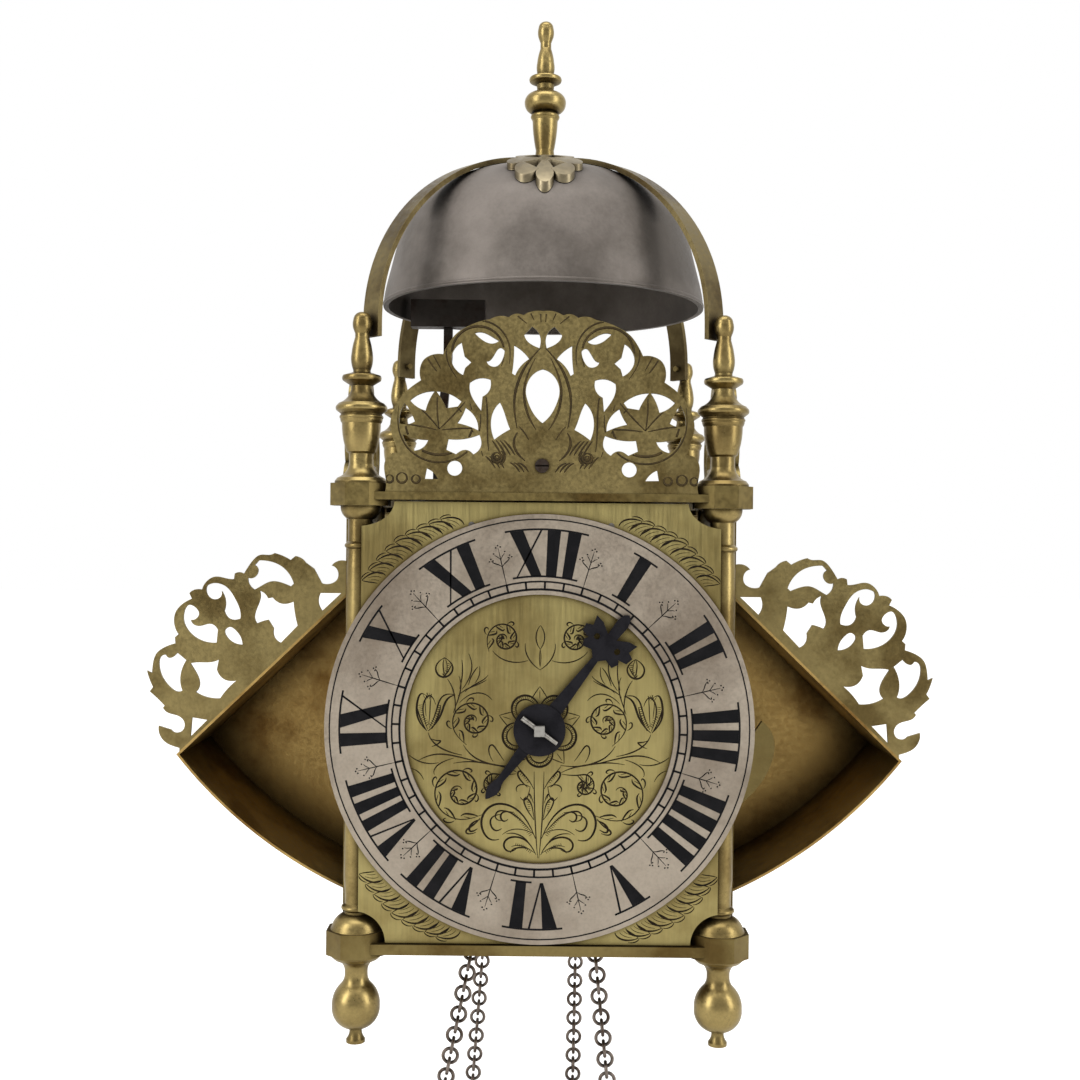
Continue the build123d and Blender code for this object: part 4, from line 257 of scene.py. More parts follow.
def old_metal(name, clean, tarnish, grime_and_shade, polish=0.34, spread=0.12, patch=30.0,
              cover=(0.42, 0.66), reach=0.006, grime_and_shade_from=0.45, grain=(1.0, 1.0, 1.0),
              fine=500.0, bump=0.25, metallic=1.0, edge=0.0, specular=0.5):
    """Metal with patches of tarnish, uneven polish, and dirt and painted shade in its
    corners.

    polish is the roughness and spread how far it varies; patch and fine are the scales of
    the two noises, and grain stretches the fine one. cover is where the large noise starts
    and ends its patches, reach how far out of a corner the dirt and painted shade sit, and
    grime_and_shade_from how deep a corner has to be to fill up. edge is the radius of rubbed
    edges, which are painted lighter as wear and as a painted highlight, 0 for none."""
    look = bpy.data.materials.new(name)
    tree = empty_tree(look)
    where = add(tree, "ShaderNodeTexCoord")
    big = add(tree, "ShaderNodeTexNoise", {"Vector": where.outputs["Object"], "Scale": patch,
                                           "Detail": 6.0, "Roughness": 0.62})
    turn = add(tree, "ShaderNodeMapping", {"Vector": where.outputs["Object"],
                                           "Scale": grain})
    small = add(tree, "ShaderNodeTexNoise", {"Vector": turn.outputs[0], "Scale": fine,
                                             "Detail": 4.0, "Roughness": 0.6})
    patches = remap(tree, big.outputs[0], *cover, 0.0, 1.0, interpolation_type="SMOOTHSTEP")
    worn = blend(tree, patches.outputs[0], rgb(clean), rgb(tarnish))
    speckle = remap(tree, small.outputs[0], 0.3, 0.7, 0.86, 1.1)
    toned = add(tree, "ShaderNodeVectorMath", {0: worn.outputs[2], 1: speckle.outputs[0]},
                operation="MULTIPLY")
    # Painted shade: ambient occlusion darkens corners and hollows toward the dark third
    # colour, which also stands for the dirt that sits there.
    corner = add(tree, "ShaderNodeAmbientOcclusion", {"Distance": reach}, samples=6)
    grime_and_shade_mask = remap(tree, corner.outputs["AO"], grime_and_shade_from, 0.95, 0.9, 0.0)
    last = blend(tree, grime_and_shade_mask.outputs[0], toned.outputs[0], rgb(grime_and_shade)).outputs[2]
    # Painted highlight: edges are lifted to the clean colour, partly rubbed wear and partly
    # the bright line light draws along edges such as the bell's lip.
    if edge > 0:
        soft = add(tree, "ShaderNodeBevel", {"Radius": edge}, samples=4)
        face = add(tree, "ShaderNodeNewGeometry")
        agree = add(tree, "ShaderNodeVectorMath", {0: soft.outputs[0],
                                                   1: face.outputs["Normal"]},
                    operation="DOT_PRODUCT")
        rubbed_edge_highlight = remap(tree, agree.outputs["Value"], 0.98, 0.78, 0.0, 0.75)
        last = blend(tree, rubbed_edge_highlight.outputs[0], last, rgb(clean)).outputs[2]
    matt = remap(tree, small.outputs[0], 0.3, 0.7, polish - spread, polish + spread)
    duller = add(tree, "ShaderNodeMath", {0: grime_and_shade_mask.outputs[0], 1: 0.3, 2: matt.outputs[0]},
                 operation="MULTIPLY_ADD")
    height = add(tree, "ShaderNodeMath", {0: big.outputs[0], 1: 2.0, 2: small.outputs[0]},
                 operation="MULTIPLY_ADD")
    relief = add(tree, "ShaderNodeBump", {"Strength": bump, "Distance": 0.00025,
                                          "Height": height.outputs[0]})
    shader = add(tree, "ShaderNodeBsdfPrincipled", {"Base Color": last, "Metallic": metallic,
                                                    "Roughness": duller.outputs[0],
                                                    "Specular IOR Level": specular,
                                                    "Normal": relief.outputs[0]})
    add(tree, "ShaderNodeOutputMaterial", {0: shader.outputs[0]})
    return look


# %% The clock's own finishes
# The third colour of each finish is the dark of its corners: dirt, and painted shade.
cast_brass = old_metal("cast_brass", "968455", "6f5e39", "2a1f0f", polish=0.33, spread=0.07,
                       bump=0.12, fine=900.0, edge=0.0005)
strap_brass = old_metal("strap_brass", "776a48", "4f422a", "241a0e", polish=0.46, patch=26.0,
                        bump=0.2, edge=0.0006)
saddle_brass = old_metal("saddle_brass", "8b8068", "665b45", "241a0e", polish=0.4,
                         bump=0.2, edge=0.0005)
fret_brass = old_metal("fret_brass", "8c7d52", "655634", "261b0d", polish=0.42, fine=700.0,
                       bump=0.2, edge=0.0005)
plate_brass = old_metal("plate_brass", "7c6d44", "5a4928", "241809", polish=0.42,
                        patch=22.0, bump=0.15)
dial_brass = old_metal("dial_brass", "a39663", "85764a", "3a2c12", polish=0.42, patch=16.0,
                       grain=(1.0, 1.0, 0.06), fine=900.0, bump=0.1, reach=0.004)
silvered = old_metal("silvered", "a39889", "7a6e60", "3c3026", polish=0.5, patch=20.0,
                     fine=900.0, bump=0.1, reach=0.003, cover=(0.38, 0.74), metallic=0.8)
# The wing boxes darken a long way out of their corners: their dirt, and painted shade inside
# the boxes.
wing_brass = old_metal("wing_brass", "b5985d", "7d5e30", "22150b", polish=0.5, patch=26.0,
                       cover=(0.42, 0.68), reach=0.02, grime_and_shade_from=0.38, bump=0.2)
# The bell's edge setting also paints the highlight line along its lip.
bell_metal = old_metal("bell_metal", "736c66", "524c46", "2a2521", polish=0.55, spread=0.08,
                       patch=18.0, cover=(0.34, 0.66), fine=700.0, bump=0.1, reach=0.01,
                       edge=0.0006, metallic=0.7)
dark_iron = old_metal("dark_iron", "4b4642", "38291f", "17110d", polish=0.5, patch=60.0)
bright_steel = old_metal("bright_steel", "a5a29c", "6d655c", "2a2420", polish=0.32,
                         patch=90.0)
blued_steel = old_metal("blued_steel", "201f23", "151418", "09080a", polish=0.46,
                        patch=120.0, fine=1200.0, bump=0.3, metallic=0.7, edge=0.0004,
                        specular=0.25)
chain_steel = old_metal("chain_steel", "7d726a", "4f433b", "1d1713", polish=0.42,
                        patch=200.0, spread=0.14)
wheel_brass = old_metal("wheel_brass", "a08c55", "70592f", "2a1c0c", polish=0.36,
                        patch=45.0)
black_wax = old_metal("black_wax", "0b0b0d", "141315", "050505", polish=0.6, patch=120.0,
                      metallic=0.0, bump=0.3, reach=0.001, specular=0.1)
graver_line = old_metal("graver_line", "1b150c", "2a2010", "0c0804", polish=0.7,
                        patch=200.0, metallic=0.0, reach=0.001, specular=0.1)
# fret_cut paints the graver's cuts in the fret dark: the shade in their grooves, painted as
# colour.
fret_cut = old_metal("fret_cut", "33280f", "443618", "1a1207", polish=0.6, patch=200.0,
                     metallic=0.2, reach=0.001, specular=0.2)
print("finishes:", len(bpy.data.materials))

# %% [markdown]
# ## Dressing the solids
#
# The record gives each solid a material slot, and most solids take the finish of their
# slot. The frets, wings, doors and plates and the bell's strap and ornament have aged
# differently from the rest of theirs, and have finishes of their own.

# %% Dress the solids
finish_of = {
    "cast_brass": cast_brass, "sheet_brass": plate_brass, "dial_brass": dial_brass,
    "silvered_brass": silvered, "bell_metal": bell_metal, "wheel_brass": wheel_brass,
    "dark_iron": dark_iron, "steel": bright_steel, "blued_steel": blued_steel,
    "chain_steel": chain_steel,
}
own_finish = {
    "front_fret": fret_brass, "left_fret": fret_brass, "right_fret": fret_brass,
    "left_wing_fret": fret_brass, "right_wing_fret": fret_brass,
    "left_wing_box": wing_brass, "right_wing_box": wing_brass,
    "left_side_door": plate_brass, "right_side_door": plate_brass,
    "bell_strap": strap_brass, "bell_saddle": saddle_brass,
    "bottom_plate": plate_brass, "top_plate": plate_brass,
}
for entry in frame["record"]["subparts"]:
    piece = nodes[entry["node"]]
    look = own_finish.get(entry["node"]) or finish_of[entry["material_slot"]]
    piece.data.materials.clear()
    piece.data.materials.append(look)

# %% [markdown]
# ## Engraving and wax
#
# A graver cuts a line that swells and thins as it is pushed, and the hour numerals are
# broad cuts filled with black wax. Image textures could draw both, but they would blur
# up close. Here each line is a curve whose points carry their own width. Turned into a
# mesh and pressed nearly flat, it lies in the metal's face like a filled cut.

# %% Draw graver lines
LINE_RISE = 0.10  # a line's height as a share of its width
SEARCH = 2 * MM  # how far metal is looked for in front of and behind a line


def new_piece(name, mesh, look, body="frame"):
    """A finished mesh as a piece that rides on a body of the clock."""
    mesh.name = name
    mesh.materials.clear()
    mesh.materials.append(look)
    piece = bpy.data.objects.new(name, mesh)
    bpy.context.scene.collection.objects.link(piece)
    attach(piece, body)
    return piece


def keep_on_metal(mesh, node):
    """Cut away whatever part of the lines has no metal of the node right behind it."""
    metal = BVHTree.FromObject(nodes[node], bpy.context.evaluated_depsgraph_get())
    cut = bmesh.new()
    cut.from_mesh(mesh)
    bare = []
    for vert in cut.verts:
        start = vert.co - Vector((0, SEARCH, 0))
        place = metal.ray_cast(start, Vector((0, 1, 0)), 2 * SEARCH)[0]
        if place is None:
            bare.append(vert)
    bmesh.ops.delete(cut, geom=bare, context="VERTS")
    edges = [edge for edge in cut.edges if edge.is_boundary]
    bmesh.ops.holes_fill(cut, edges=edges, sides=0)
    bmesh.ops.recalc_face_normals(cut, faces=cut.faces)
    cut.to_mesh(mesh)
    cut.free()
    print("trimmed off the metal:", len(bare), "points of", mesh.name)


def graver_lines(name, lines, place, look, weight=1.0, on_metal=""):
    """Swelling lines on a face that looks forward. Each line is (width, points) in
    millimetres about the place; the width is reached in mid-line and grows with the weight
    of the hand. Lines that run over a piercing of the node on_metal are trimmed there."""
    curve = bpy.data.curves.new(name, "CURVE")
    curve.dimensions = "3D"
    curve.bevel_depth = MM
    curve.bevel_resolution = 0
    curve.use_fill_caps = True
    for width, points in lines:
        run = curve.splines.new("NURBS")
        run.points.add(len(points) - 1)
        for k, (x, z) in enumerate(points):
            run.points[k].co = (x * MM, 0.0, z * MM, 1.0)
            swell = max(0.0, math.sin(math.pi * k / (len(points) - 1))) ** 0.6
            run.points[k].radius = width / 2 * weight * (0.3 + 0.7 * swell)
        run.order_u = min(4, len(points))
        run.use_endpoint_u = True
        run.resolution_u = 5
    holder = bpy.data.objects.new(name + "_curve", curve)
    bpy.context.scene.collection.objects.link(holder)
    bpy.context.view_layer.update()
    mesh = bpy.data.meshes.new_from_object(holder)
    bpy.data.objects.remove(holder)
    bpy.data.curves.remove(curve)
    mesh.transform(Matrix.Scale(LINE_RISE, 4, (0, 1, 0)))
    mesh.transform(Matrix.Translation(place))
    if on_metal:
        keep_on_metal(mesh, on_metal)
    return new_piece(name, mesh, look)


def both_sides(lines):
    """The lines and their mirror images."""
    return lines + [(width, [(-x, z) for x, z in points]) for width, points in lines]


# %% [markdown]
# ## The hour numerals
#
# Each numeral stands with its foot towards the middle of the dial, so its strokes follow
# the radii and are wider at the rim. The strokes are laid out flat as on ruled paper and
# then wrapped round the ring: sideways becomes an angle, upwards becomes a radius.

# %% Lay out a numeral
NUMERAL_FOOT = 59.2  # radii of a numeral's foot and head, and where its widths are true
NUMERAL_HEAD = 76.8
NUMERAL_MIDDLE = 67.5
RING_TURN = 1.6  # degrees; the photographed ring sits a little clockwise
BAR = 4.5  # broad stroke and hairline
HAIR = 0.7
OVERHANG = 1.1  # how far a serif stands out past the strokes
FOOT_SERIF = -0.03
WIDEST = 29.0  # VIII is squeezed to this
ADVANCE = {"I": 7.1, "V": 11.2, "X": 12.2}


def letter_strokes(letter, x):
    """Outlines of one letter whose middle is at x; height runs from 0 to 1."""
    if letter == "I":
        return [[(x - BAR / 2, 0), (x + BAR / 2, 0), (x + BAR / 2, 1), (x - BAR / 2, 1)]]
    if letter == "V":
        return [[(x - 0.5, 0), (x + 0.6, 0), (x + 0.1, 1), (x - 4.9, 1)],
                [(x + 0.1, 0), (x + 0.8, 0), (x + 5.0, 1), (x + 4.3, 1)]]
    return [[(x + 0.9, 0), (x + 5.5, 0), (x - 0.9, 1), (x - 5.5, 1)],
            [(x - 5.6, 0), (x - 4.9, 0), (x + 5.6, 1), (x + 4.9, 1)]]


def serif(x0, x1, height):
    """Thin line across the heads or feet of the letters, in short steps."""
    steps = max(2, round((x1 - x0) / 2.0))
    edge = [x0 + (x1 - x0) * k / steps for k in range(steps + 1)]
    thick = HAIR / (NUMERAL_HEAD - NUMERAL_FOOT)
    return [[(a, height), (b, height), (b, height + thick), (a, height + thick)]
            for a, b in zip(edge, edge[1:])]


def numeral_outlines(text):
    """All strokes of a numeral, centred."""
    x = -sum(ADVANCE[letter] for letter in text) / 2
    left, right = x, -x
    strokes, feet = [], []
    for letter in text:
        step = ADVANCE[letter]
        strokes += letter_strokes(letter, x + step / 2)
        if letter != "V":
            feet.append((x, x + step))
        x += step
    strokes += serif(left - OVERHANG, right + OVERHANG, 1.0)
    if feet:
        strokes += serif(feet[0][0] - OVERHANG, feet[-1][1] + OVERHANG, FOOT_SERIF)
    squeeze = min(1.0, WIDEST / (right - left))
    return [[(across * squeeze, height) for across, height in stroke] for stroke in strokes]


# %% Wrap the numerals round the ring
def wrapped(point, middle):
    """A point of the flat layout, on the ring, in metres."""
    radius = NUMERAL_FOOT + point[1] * (NUMERAL_HEAD - NUMERAL_FOOT)
    return in_metres(*on_dial(radius, middle + math.degrees(point[0] / NUMERAL_MIDDLE)))


def raised_shapes(name, outlines, front, look, rise=0.04 * MM):
    """Flat shapes whose front stands out of a face by the rise and whose back lies as deep
    in it."""
    shape = bmesh.new()
    for outline in outlines:
        corners = [shape.verts.new((p.x, front - rise, p.z)) for p in outline]
        shape.faces.new(corners)
    bmesh.ops.recalc_face_normals(shape, faces=shape.faces)
    for face in shape.faces:
        if face.normal.y > 0:
            face.normal_flip()
    grown = bmesh.ops.extrude_face_region(shape, geom=list(shape.faces),
                                          use_keep_orig=True)
    moved = [g for g in grown["geom"] if isinstance(g, bmesh.types.BMVert)]
    bmesh.ops.translate(shape, verts=moved, vec=(0, 2 * rise, 0))
    bmesh.ops.recalc_face_normals(shape, faces=shape.faces)
    mesh = bpy.data.meshes.new(name)
    shape.to_mesh(mesh)
    shape.free()
    return new_piece(name, mesh, look)


numerals = ["XII", "I", "II", "III", "IIII", "V", "VI", "VII", "VIII", "IX", "X", "XI"]
wax = []
for hour, text in enumerate(numerals):
    middle = hour * 30 + RING_TURN
    wax += [[wrapped(p, middle) for p in outline] for outline in numeral_outlines(text)]
raised_shapes("hour_numerals", wax, RING_FRONT, black_wax)
print("numeral strokes:", len(wax))

# %% [markdown]
# ## Lines, quarters and half-hour marks
#
# With one hand, the time between the hours is read from a narrow band of quarter-hour
# cells inside the numerals. A small sprig marks each half hour.

# %% Cut the ring's circles and cells
RIM_LINE = 81.0
BAND_IN = 54.0
BAND_OUT = 57.0
QUARTERS = 48
QUARTER_BAR = 0.76


def patch_between(inner, outer, start, stop):
    """The piece of a ring between two radii and two directions."""
    return [in_metres(*on_dial(inner, start)), in_metres(*on_dial(inner, stop)),
            in_metres(*on_dial(outer, stop)), in_metres(*on_dial(outer, start))]


def circle_line(radius, width, steps=96):
    """A closed line as many short pieces, wrapped round the dial."""
    return [patch_between(radius - width / 2, radius + width / 2,
                          360 * k / steps, 360 * (k + 1) / steps) for k in range(steps)]


cells = circle_line(RIM_LINE, 0.5)
cells += circle_line(BAND_OUT, 0.65)
cells += circle_line(BAND_IN, 0.85)
for quarter in range(QUARTERS):
    turn = quarter * 360 / QUARTERS + RING_TURN
    half = math.degrees(QUARTER_BAR / 2 / BAND_IN)
    cells.append(patch_between(BAND_IN, BAND_OUT, turn - half, turn + half))
raised_shapes("ring_lines", cells, RING_FRONT, black_wax, rise=0.03 * MM)


# %% Cut the half-hour sprigs
def sprig(degrees):
    """A stem with two curled arms and two short ones, and dots at all their ends."""
    along = math.radians(degrees)

    def put(x, r):
        return (r * math.sin(along) + x * math.cos(along),
                r * math.cos(along) - x * math.sin(along))

    def dot(width, x, r):
        return width, [put(x - 0.3, r), put(x, r + 0.1), put(x + 0.3, r)]

    lines = [(0.55, [put(0, 56.8), put(0, 62.0), put(0, 66.5), put(0, 71.6)])]
    lines += [dot(1.0, 0, 72.6), dot(1.0, -0.9, 71.9), dot(1.0, 0.9, 71.9)]
    for side in (-1, 1):
        lines.append((0.6, [put(0, 64.2), put(side * 1.4, 66.0), put(side * 2.8, 65.6),
                            put(side * 3.6, 67.4)]))
        lines.append((0.5, [put(0, 67.0), put(side * 1.0, 68.6), put(side * 2.0, 69.2)]))
        for x, r in ((3.7, 68.0), (3.0, 67.2), (4.4, 67.2), (2.2, 69.8)):
            lines.append(dot(0.9, side * x, r))
    return lines


ring_place = (DIAL_X, RING_FRONT, DIAL_Z)
sprigs = []
for hour in range(12):
    sprigs += sprig(15 + hour * 30 + RING_TURN)
graver_lines("half_hour_sprigs", sprigs, ring_place, black_wax)
print("sprig lines:", len(sprigs))

# %% [markdown]
# ## The engraved centre
#
# A single plant fills the centre: a stem with acanthus leaves, scrolls to both sides,
# tulips on bent stalks and a rose round the hand. It is drawn once for the right half
# and mirrored. Scrolls get curled lobes, and rows of fine short cuts darken the hollows
# of petals and leaves.

# %% Leafy spirals and shading
def scroll(middle, start, turns, first, last, side):
    """Points of a spiral round a middle, from its outer to its inner radius."""
    count = round(turns * 10)
    shares = [k / count for k in range(count + 1)]
    return [about(middle, first + (last - first) * share, start + side * 360 * turns * share)
            for share in shares]


def acanthus(middle, start, turns, first, last, side):
    """A spiral stem with curled lobes inside it and thorns outside its first turn."""
    lines = [(0.55, scroll(middle, start, turns, first, last, side))]
    lobes = round(turns * 7)
    for k in range(lobes):
        share = (k + 0.4) / (lobes + 2)
        radius = first + (last - first) * share
        turn = start + side * 360 * turns * share
        size = 0.45 + 0.55 * radius / first
        bend = 1.5 - 0.5 * radius / first

        def leaf(*steps):
            return [about(middle, radius + out * size, turn + side * ahead * bend)
                    for out, ahead in steps]

        lines.append((0.6, leaf((-0.3, -10), (-1.7, -5), (-3.1, 5), (-3.6, 17), (-2.7, 24))))
        lines.append((0.35, leaf((-0.7, 2), (-1.6, 9), (-2.4, 17))))
        if k % 2 == 1 and k < lobes * 0.6:
            lines.append((0.5, leaf((0.1, -8), (1.6, -2), (2.1, 9), (0.9, 13), (0.2, 8))))
    return lines


def shading(points, reach, width=0.3, spacing=0.8):
    """Fine short cuts off one side of a line, as a graver darkens a hollow."""
    cuts = []
    for (x0, z0), (x1, z1) in zip(points, points[1:]):
        run = math.hypot(x1 - x0, z1 - z0)
        across = (-(z1 - z0) / run * reach, (x1 - x0) / run * reach)
        count = max(2, round(run / spacing))
        for k in range(count):
            share = (k + 0.5) / count
            x, z = x0 + (x1 - x0) * share, z0 + (z1 - z0) * share
            cuts.append((width, [(x, z), (x + across[0] * 0.5, z + across[1] * 0.6),
                                 (x + across[0], z + across[1])]))
    return cuts


# %% Draw the plant
plant = [
    # The stem and its curled foot
    (0.5, [(1.9, -16.5), (1.8, -28.0), (1.3, -40.0), (0.2, -50.0)]),
    (0.6, [(0.9, -48.7), (3.3, -43.4), (8.6, -41.0), (13.2, -42.8), (13.8, -46.4),
           (11.0, -48.2), (8.6, -46.6)]),
    (0.4, [(1.4, -48.0), (4.7, -45.4), (8.0, -44.4), (10.4, -45.6)]),
    # The large leaf that bends out over the foot
    (0.7, [(1.1, -42.5), (4.7, -33.2), (12.4, -28.2), (19.1, -29.5), (22.5, -34.3),
           (22.0, -40.1), (18.6, -43.9), (15.2, -42.8)]),
    (0.5, [(1.8, -41.0), (7.6, -33.6), (13.8, -31.0), (17.2, -32.4), (16.8, -35.8),
           (13.6, -35.6)]),
    (0.4, [(2.2, -40.4), (7.4, -37.8), (11.2, -38.6), (14.0, -41.0)]),
    # Small leaves up the stem
    (0.5, [(1.8, -35.3), (2.2, -29.0), (5.2, -25.7), (6.4, -28.1), (3.9, -32.4),
           (1.9, -35.1)]),
    (0.5, [(2.0, -23.3), (4.0, -19.0), (6.6, -17.2), (8.4, -14.4)]),
    (0.5, [(3.3, -22.6), (7.1, -20.1), (9.8, -22.6), (8.4, -24.4)]),
    (0.45, [(2.1, -28.8), (2.9, -25.2), (4.6, -23.6), (3.0, -27.2)]),
    # Branches to the side
    (0.5, [(8.6, -16.8), (12.8, -14.6), (20.0, -13.6), (27.4, -12.4), (33.2, -13.6)]),
    (0.5, [(8.2, -14.0), (14.3, -15.0), (22.0, -13.2), (27.0, -10.4), (29.4, -6.4)]),
    (0.5, [(20.0, -13.8), (27.0, -12.2), (36.0, -9.4), (42.6, -10.2), (46.6, -12.6)]),
    (0.5, [(33.0, -11.6), (38.3, -13.0), (41.6, -15.4), (40.4, -18.2)]),
    (0.6, [(22.6, -34.6), (24.6, -37.6), (29.4, -39.0), (27.6, -41.6), (24.2, -40.2)]),
    # The tulip: its bent stalk, then its petals
    (0.6, [(43.0, -1.8), (42.0, -6.4), (36.6, -9.3), (29.8, -10.4)]),
    (0.5, [(42.4, -4.0), (39.4, -5.4), (36.8, -4.0), (39.6, -6.8), (41.6, -7.2)]),
    (0.7, [(43.0, -1.2), (38.6, 2.6), (37.4, 8.6), (35.4, 12.4), (32.6, 12.8)]),
    (0.5, [(32.6, 12.8), (36.6, 13.9), (39.6, 10.4), (40.0, 5.2), (42.6, 0.0)]),
    (0.5, [(40.2, 9.0), (41.6, 13.6), (44.8, 12.2), (45.8, 6.0), (43.2, -0.6)]),
    (0.7, [(43.4, -1.2), (47.2, 2.2), (48.2, 8.2), (46.4, 14.4), (44.6, 12.8)]),
    (0.4, [(41.8, 13.2), (42.6, 9.4), (42.2, 5.6), (42.8, 1.6)]),
    (0.4, [(44.2, 11.6), (44.4, 8.0), (43.8, 4.4)]),
    # The round bud above it, and two stalks
    (0.6, [(36.9, 27.2), (33.2, 25.0), (33.6, 20.9), (37.4, 19.0), (40.8, 21.2),
           (40.4, 25.4), (36.9, 27.2)]),
    (0.5, [(36.9, 27.2), (38.4, 24.0), (36.4, 21.6), (37.4, 19.2)]),
    (0.4, [(36.9, 27.2), (35.0, 23.8), (36.6, 20.0)]),
    (0.5, [(35.8, 19.0), (33.4, 16.0), (31.8, 10.8), (33.0, 4.4)]),
    (0.5, [(31.4, 20.2), (29.2, 15.8), (31.6, 11.4), (33.4, 5.8)]),
    # Blades of grass between the bud and the rose
    (0.5, [(18.4, 11.0), (21.5, 14.9), (26.8, 14.6), (31.0, 9.8)]),
    (0.5, [(20.1, 20.6), (21.8, 17.8), (25.6, 17.6), (29.0, 14.0)]),
    (0.5, [(23.4, 24.0), (22.8, 20.0), (25.2, 17.4)]),
    (0.5, [(27.6, 28.8), (25.2, 24.0), (26.6, 19.4), (30.0, 15.0)]),
    # The pointed leaf at the top, and the stalk of the scroll beside it
    (0.5, [(0.0, 22.8), (3.6, 25.0), (6.2, 28.8), (5.8, 33.0)]),
    (0.5, [(0.0, 40.0), (2.6, 36.8), (1.8, 33.0), (0.0, 30.8)]),
    (0.4, [(0.0, 30.8), (0.6, 27.4), (0.0, 24.0)]),
    (0.5, [(4.6, 26.4), (9.8, 24.6), (15.4, 26.0), (18.4, 30.0)]),
]
plant += acanthus((30.6, -24.4), 225, 1.75, 12.6, 1.2, -1)
plant += acanthus((25.6, 2.8), 165, 1.75, 9.6, 0.9, -1)
plant += acanthus((17.4, -22.0), 320, 1.5, 5.2, 0.6, 1)
plant += acanthus((14.0, 34.6), 130, 1.6, 7.6, 0.9, -1)
plant += [
    # Leaves that fill the gaps between branches, leaf and foot
    (0.5, [(17.8, -12.8), (20.6, -8.6), (18.2, -4.2), (16.6, -8.4), (13.6, -12.4)]),
    (0.5, [(8.8, -17.4), (14.4, -18.4), (18.0, -16.4), (21.0, -18.8), (19.2, -22.4)]),
    (0.6, [(5.6, -18.8), (6.8, -15.6), (9.4, -16.8), (7.2, -20.2), (4.4, -22.6)]),
    (0.5, [(7.2, -26.4), (5.4, -29.2), (4.0, -27.0), (3.4, -22.2)]),
    (0.6, [(9.6, -32.4), (14.0, -31.4), (15.6, -34.4), (13.4, -36.6), (11.8, -35.0)]),
    (0.6, [(14.8, -33.2), (18.6, -33.6), (19.4, -37.6), (16.4, -40.4), (14.2, -38.6)]),
    (0.5, [(3.0, -39.6), (6.4, -35.0), (10.2, -33.2)]),
    (0.5, [(3.6, -44.2), (5.4, -41.6), (8.8, -39.8), (12.4, -40.6)]),
    (0.7, [(22.6, -35.2), (25.2, -36.0), (27.6, -38.4), (26.4, -40.8), (23.6, -38.8)]),
    (0.6, [(3.4, -46.6), (7.0, -45.2), (10.4, -46.2), (10.8, -48.0)]),
    (0.5, [(38.8, -13.4), (43.2, -14.6), (47.6, -13.0), (50.2, -10.6)]),
    (0.5, [(44.6, -20.0), (46.0, -16.6), (49.2, -15.8)]),
    # Second cuts along the grass, the tulip and the bud
    (0.5, [(20.6, 18.8), (24.2, 16.2), (28.6, 16.0), (31.6, 12.4)]),
    (0.6, [(24.0, 23.8), (26.6, 21.0), (27.6, 16.8)]),
    (0.6, [(30.2, 26.4), (29.4, 21.0), (31.0, 15.2)]),
    (0.7, [(38.2, 8.8), (38.8, 4.4), (41.6, -0.4)]),
    (0.7, [(47.4, 8.6), (46.8, 4.0), (43.8, -0.8)]),
    (0.6, [(34.2, 24.4), (35.6, 21.4), (37.6, 19.4)]),
]
plant += shading([(38.0, 9.0), (38.4, 5.0), (41.4, 0.2)], 1.8)
plant += shading([(43.8, 0.4), (46.4, 4.6), (47.0, 9.0)], 1.8)
plant += shading([(41.6, 13.0), (43.6, 13.8), (45.4, 12.4)], -2.2)
plant += shading([(34.4, 25.0), (35.2, 21.4), (37.2, 19.6)], 1.6)
plant += shading([(2.4, -41.0), (6.6, -34.6), (10.0, -31.8)], -1.4)
plant += shading([(2.4, -47.4), (6.0, -44.6), (9.0, -44.0)], -1.2)
plant += shading([(3.0, -32.0), (3.4, -28.0), (5.0, -25.8)], -1.1)
plant += shading([(3.4, -20.6), (5.0, -18.4), (7.0, -16.8)], -1.2)
plant = both_sides(plant)

# %% Draw the rose round the hand
PETALS = 5

for petal in range(PETALS):
    turn = (petal + 0.5) * 360 / PETALS
    middle = on_dial(9.4, turn)
    rim = [about(middle, 5.4, turn + bend) for bend in range(-110, 111, 22)]
    inner = [about(middle, 3.9, turn + bend) for bend in range(-90, 91, 30)]
    plant += [(0.7, rim), (0.5, inner)] + shading(inner, 1.1)
    leaf = turn + 180 / PETALS
    tip = on_dial(16.4, leaf)
    plant += [(0.5, [on_dial(12.0, leaf - 15), on_dial(13.6, leaf - 9), tip]),
              (0.5, [on_dial(12.0, leaf + 15), on_dial(13.6, leaf + 9), tip]),
              (0.35, [on_dial(11.6, leaf), on_dial(13.4, leaf), on_dial(15.0, leaf)])]
dial_place = (DIAL_X, DIAL_FRONT, DIAL_Z)
graver_lines("dial_engraving", plant, dial_place, graver_line, weight=1.3)
print("graver lines on the dial:", len(plant))


# %% [markdown]
# ## Laurel in the corners
#
# Outside the ring a strip of overlapping leaves fills each corner of the dial plate.

# %% Engrave the corner leaves
GARLAND_RADIUS = 84.0
GARLAND_LEAVES = 9
LEAF_STEP = 3.1


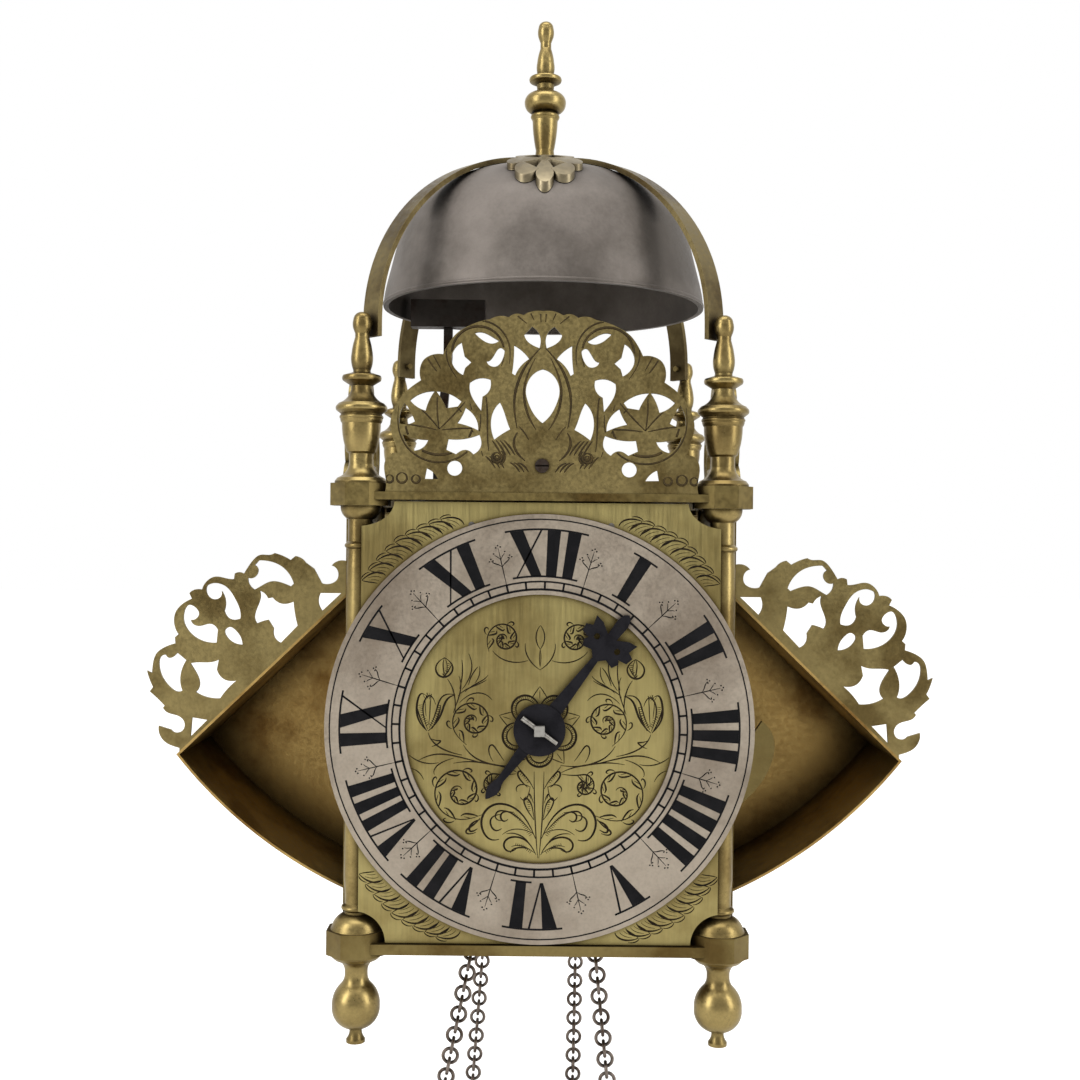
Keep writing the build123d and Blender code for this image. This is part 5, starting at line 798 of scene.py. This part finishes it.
def laurel(middle):
    """A garland of overlapping leaves along the ring's edge, about a direction. The leaves
    run away from the dial's upright line, and are largest in the middle of the garland."""
    lines = []
    way = 1 if math.sin(math.radians(middle)) > 0 else -1
    if math.cos(math.radians(middle)) < 0:
        way = -way
    for k in range(GARLAND_LEAVES):
        turn = middle + way * (k - 4.6) * LEAF_STEP
        size = 1.0 - abs(k - GARLAND_LEAVES // 2) * 0.06

        def leaf(*steps):
            return [on_dial(GARLAND_RADIUS + rise * size, turn + way * ahead)
                    for rise, ahead in steps]

        lines.append((0.9, leaf((0.0, -0.4), (3.6, -0.6), (7.0, 1.6), (7.2, 4.6))))
        lines.append((0.6, leaf((7.2, 4.6), (4.6, 4.2), (2.2, 3.0), (0.2, 2.6))))
        lines.append((0.4, leaf((0.6, 0.8), (3.2, 1.0), (5.8, 3.2))))
        lines.append((0.35, leaf((0.6, 1.8), (2.6, 2.2), (4.4, 3.4))))
        lines.append((0.6, leaf((7.0, 1.8), (8.6, 2.6), (8.8, 4.4), (7.4, 4.8))))
    return lines


leaves = []
for middle in (35.5, 324.5, 144.5, 215.5):
    leaves += laurel(middle)
graver_lines("corner_laurels", leaves, dial_place, graver_line, on_metal="dial_plate")
print("laurel lines:", len(leaves))

# %% [markdown]
# ## Cuts on the front fret
#
# The founder's fret is flat where it leaves the sand. The graver gives the two fish their
# eyes, gills and fins, crosses their bodies, and puts veins and rims on the flower and the
# scrolls. The cuts are drawn from the middle of the fret's foot, once, and mirrored.

# %% Engrave the front fret
fret_low, fret_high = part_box("front_fret")


def ring_cut(x, z, radius, start=0, stop=360):
    """Part of a round cut."""
    steps = max(6, round((stop - start) / 24))
    return [about((x, z), radius, start + (stop - start) * k / steps)
            for k in range(steps + 1)]


fins = []
for row, (x, z, count) in enumerate(((10.6, 14.6, 4), (14.6, 9.4, 3), (5.2, 8.0, 3))):
    for k in range(count):
        fins.append((0.9, [(x + k * 1.7, z), (x + 1.4 + k * 1.8, z + 3.0),
                           (x + 4.2 + k * 1.5, z + 5.6 - row)]))
fret_lines = fins + [
    # A fish: its eye, its gill and the lines along its body
    (1.0, ring_cut(17.4, 13.6, 1.9)), (0.8, ring_cut(17.4, 13.6, 0.8)),
    (0.8, ring_cut(17.4, 13.6, 3.0, 200, 330)),
    (1.0, [(9.6, 23.3), (12.2, 19.6), (11.0, 15.8), (6.6, 12.4)]),
    (0.9, [(1.0, 55.9), (6.6, 50.2), (10.4, 42.0), (11.6, 34.0), (9.8, 25.0)]),
    (0.8, [(2.4, 24.4), (5.4, 28.6), (7.8, 36.0), (7.2, 44.0), (3.0, 52.0)]),
    (0.7, [(5.2, 20.4), (6.6, 23.2), (9.0, 25.6)]),
    (0.7, [(20.6, 16.0), (21.8, 24.0), (20.4, 33.0), (22.6, 40.0)]),
    (0.7, [(22.8, 14.0), (26.0, 24.0), (29.8, 30.2), (33.8, 33.6)]),
    # Veins of the flower's petals
    (0.8, [(39.8, 24.3), (44.2, 30.2), (50.4, 35.0)]),
    (0.8, [(39.8, 24.3), (41.0, 31.0), (40.5, 38.4)]),
    (0.8, [(39.8, 24.3), (34.4, 29.4), (29.8, 35.0)]),
    (0.8, [(38.8, 24.0), (31.0, 25.0), (24.0, 24.6)]),
    (0.8, [(40.8, 24.0), (47.0, 25.6), (53.6, 26.2)]),
    # Rims of the scrolls round the flower and above it
    (0.8, ring_cut(39.8, 27.6, 13.6, 60, 300)),
    (0.6, ring_cut(39.8, 27.6, 16.6, 70, 290)),
    (0.8, ring_cut(25.0, 54.0, 10.4, -120, 150)),
    (0.6, ring_cut(25.0, 54.0, 12.8, -110, 140)),
    (0.8, [(41.0, 46.6), (43.4, 49.6), (45.4, 53.0)]),
    (0.6, [(39.4, 47.6), (41.0, 50.4), (42.4, 53.0)]),
    # Three knobs at the end of the foot
    (0.7, ring_cut(54.0, 5.4, 2.0)),
    (0.7, ring_cut(48.6, 5.0, 1.6)),
    (0.7, ring_cut(58.8, 5.0, 1.5)),
    # Ribs of the shell at the top
    (0.8, [(0.9, 66.0), (1.4, 73.0), (1.0, 80.0)]),
    (0.8, [(3.6, 66.6), (6.6, 72.6), (7.8, 78.6)]),
    (0.8, [(6.4, 65.4), (12.0, 69.6), (15.6, 74.0)]),
]
fret_place = (DIAL_X, fret_low.y, fret_low.z)
graver_lines("fret_engraving", both_sides(fret_lines), fret_place, fret_cut,
                     weight=1.3, on_metal="front_fret")
print("fret cuts:", len(fret_lines) * 2,
      "fret size", [round(v, 4) for v in fret_high - fret_low])
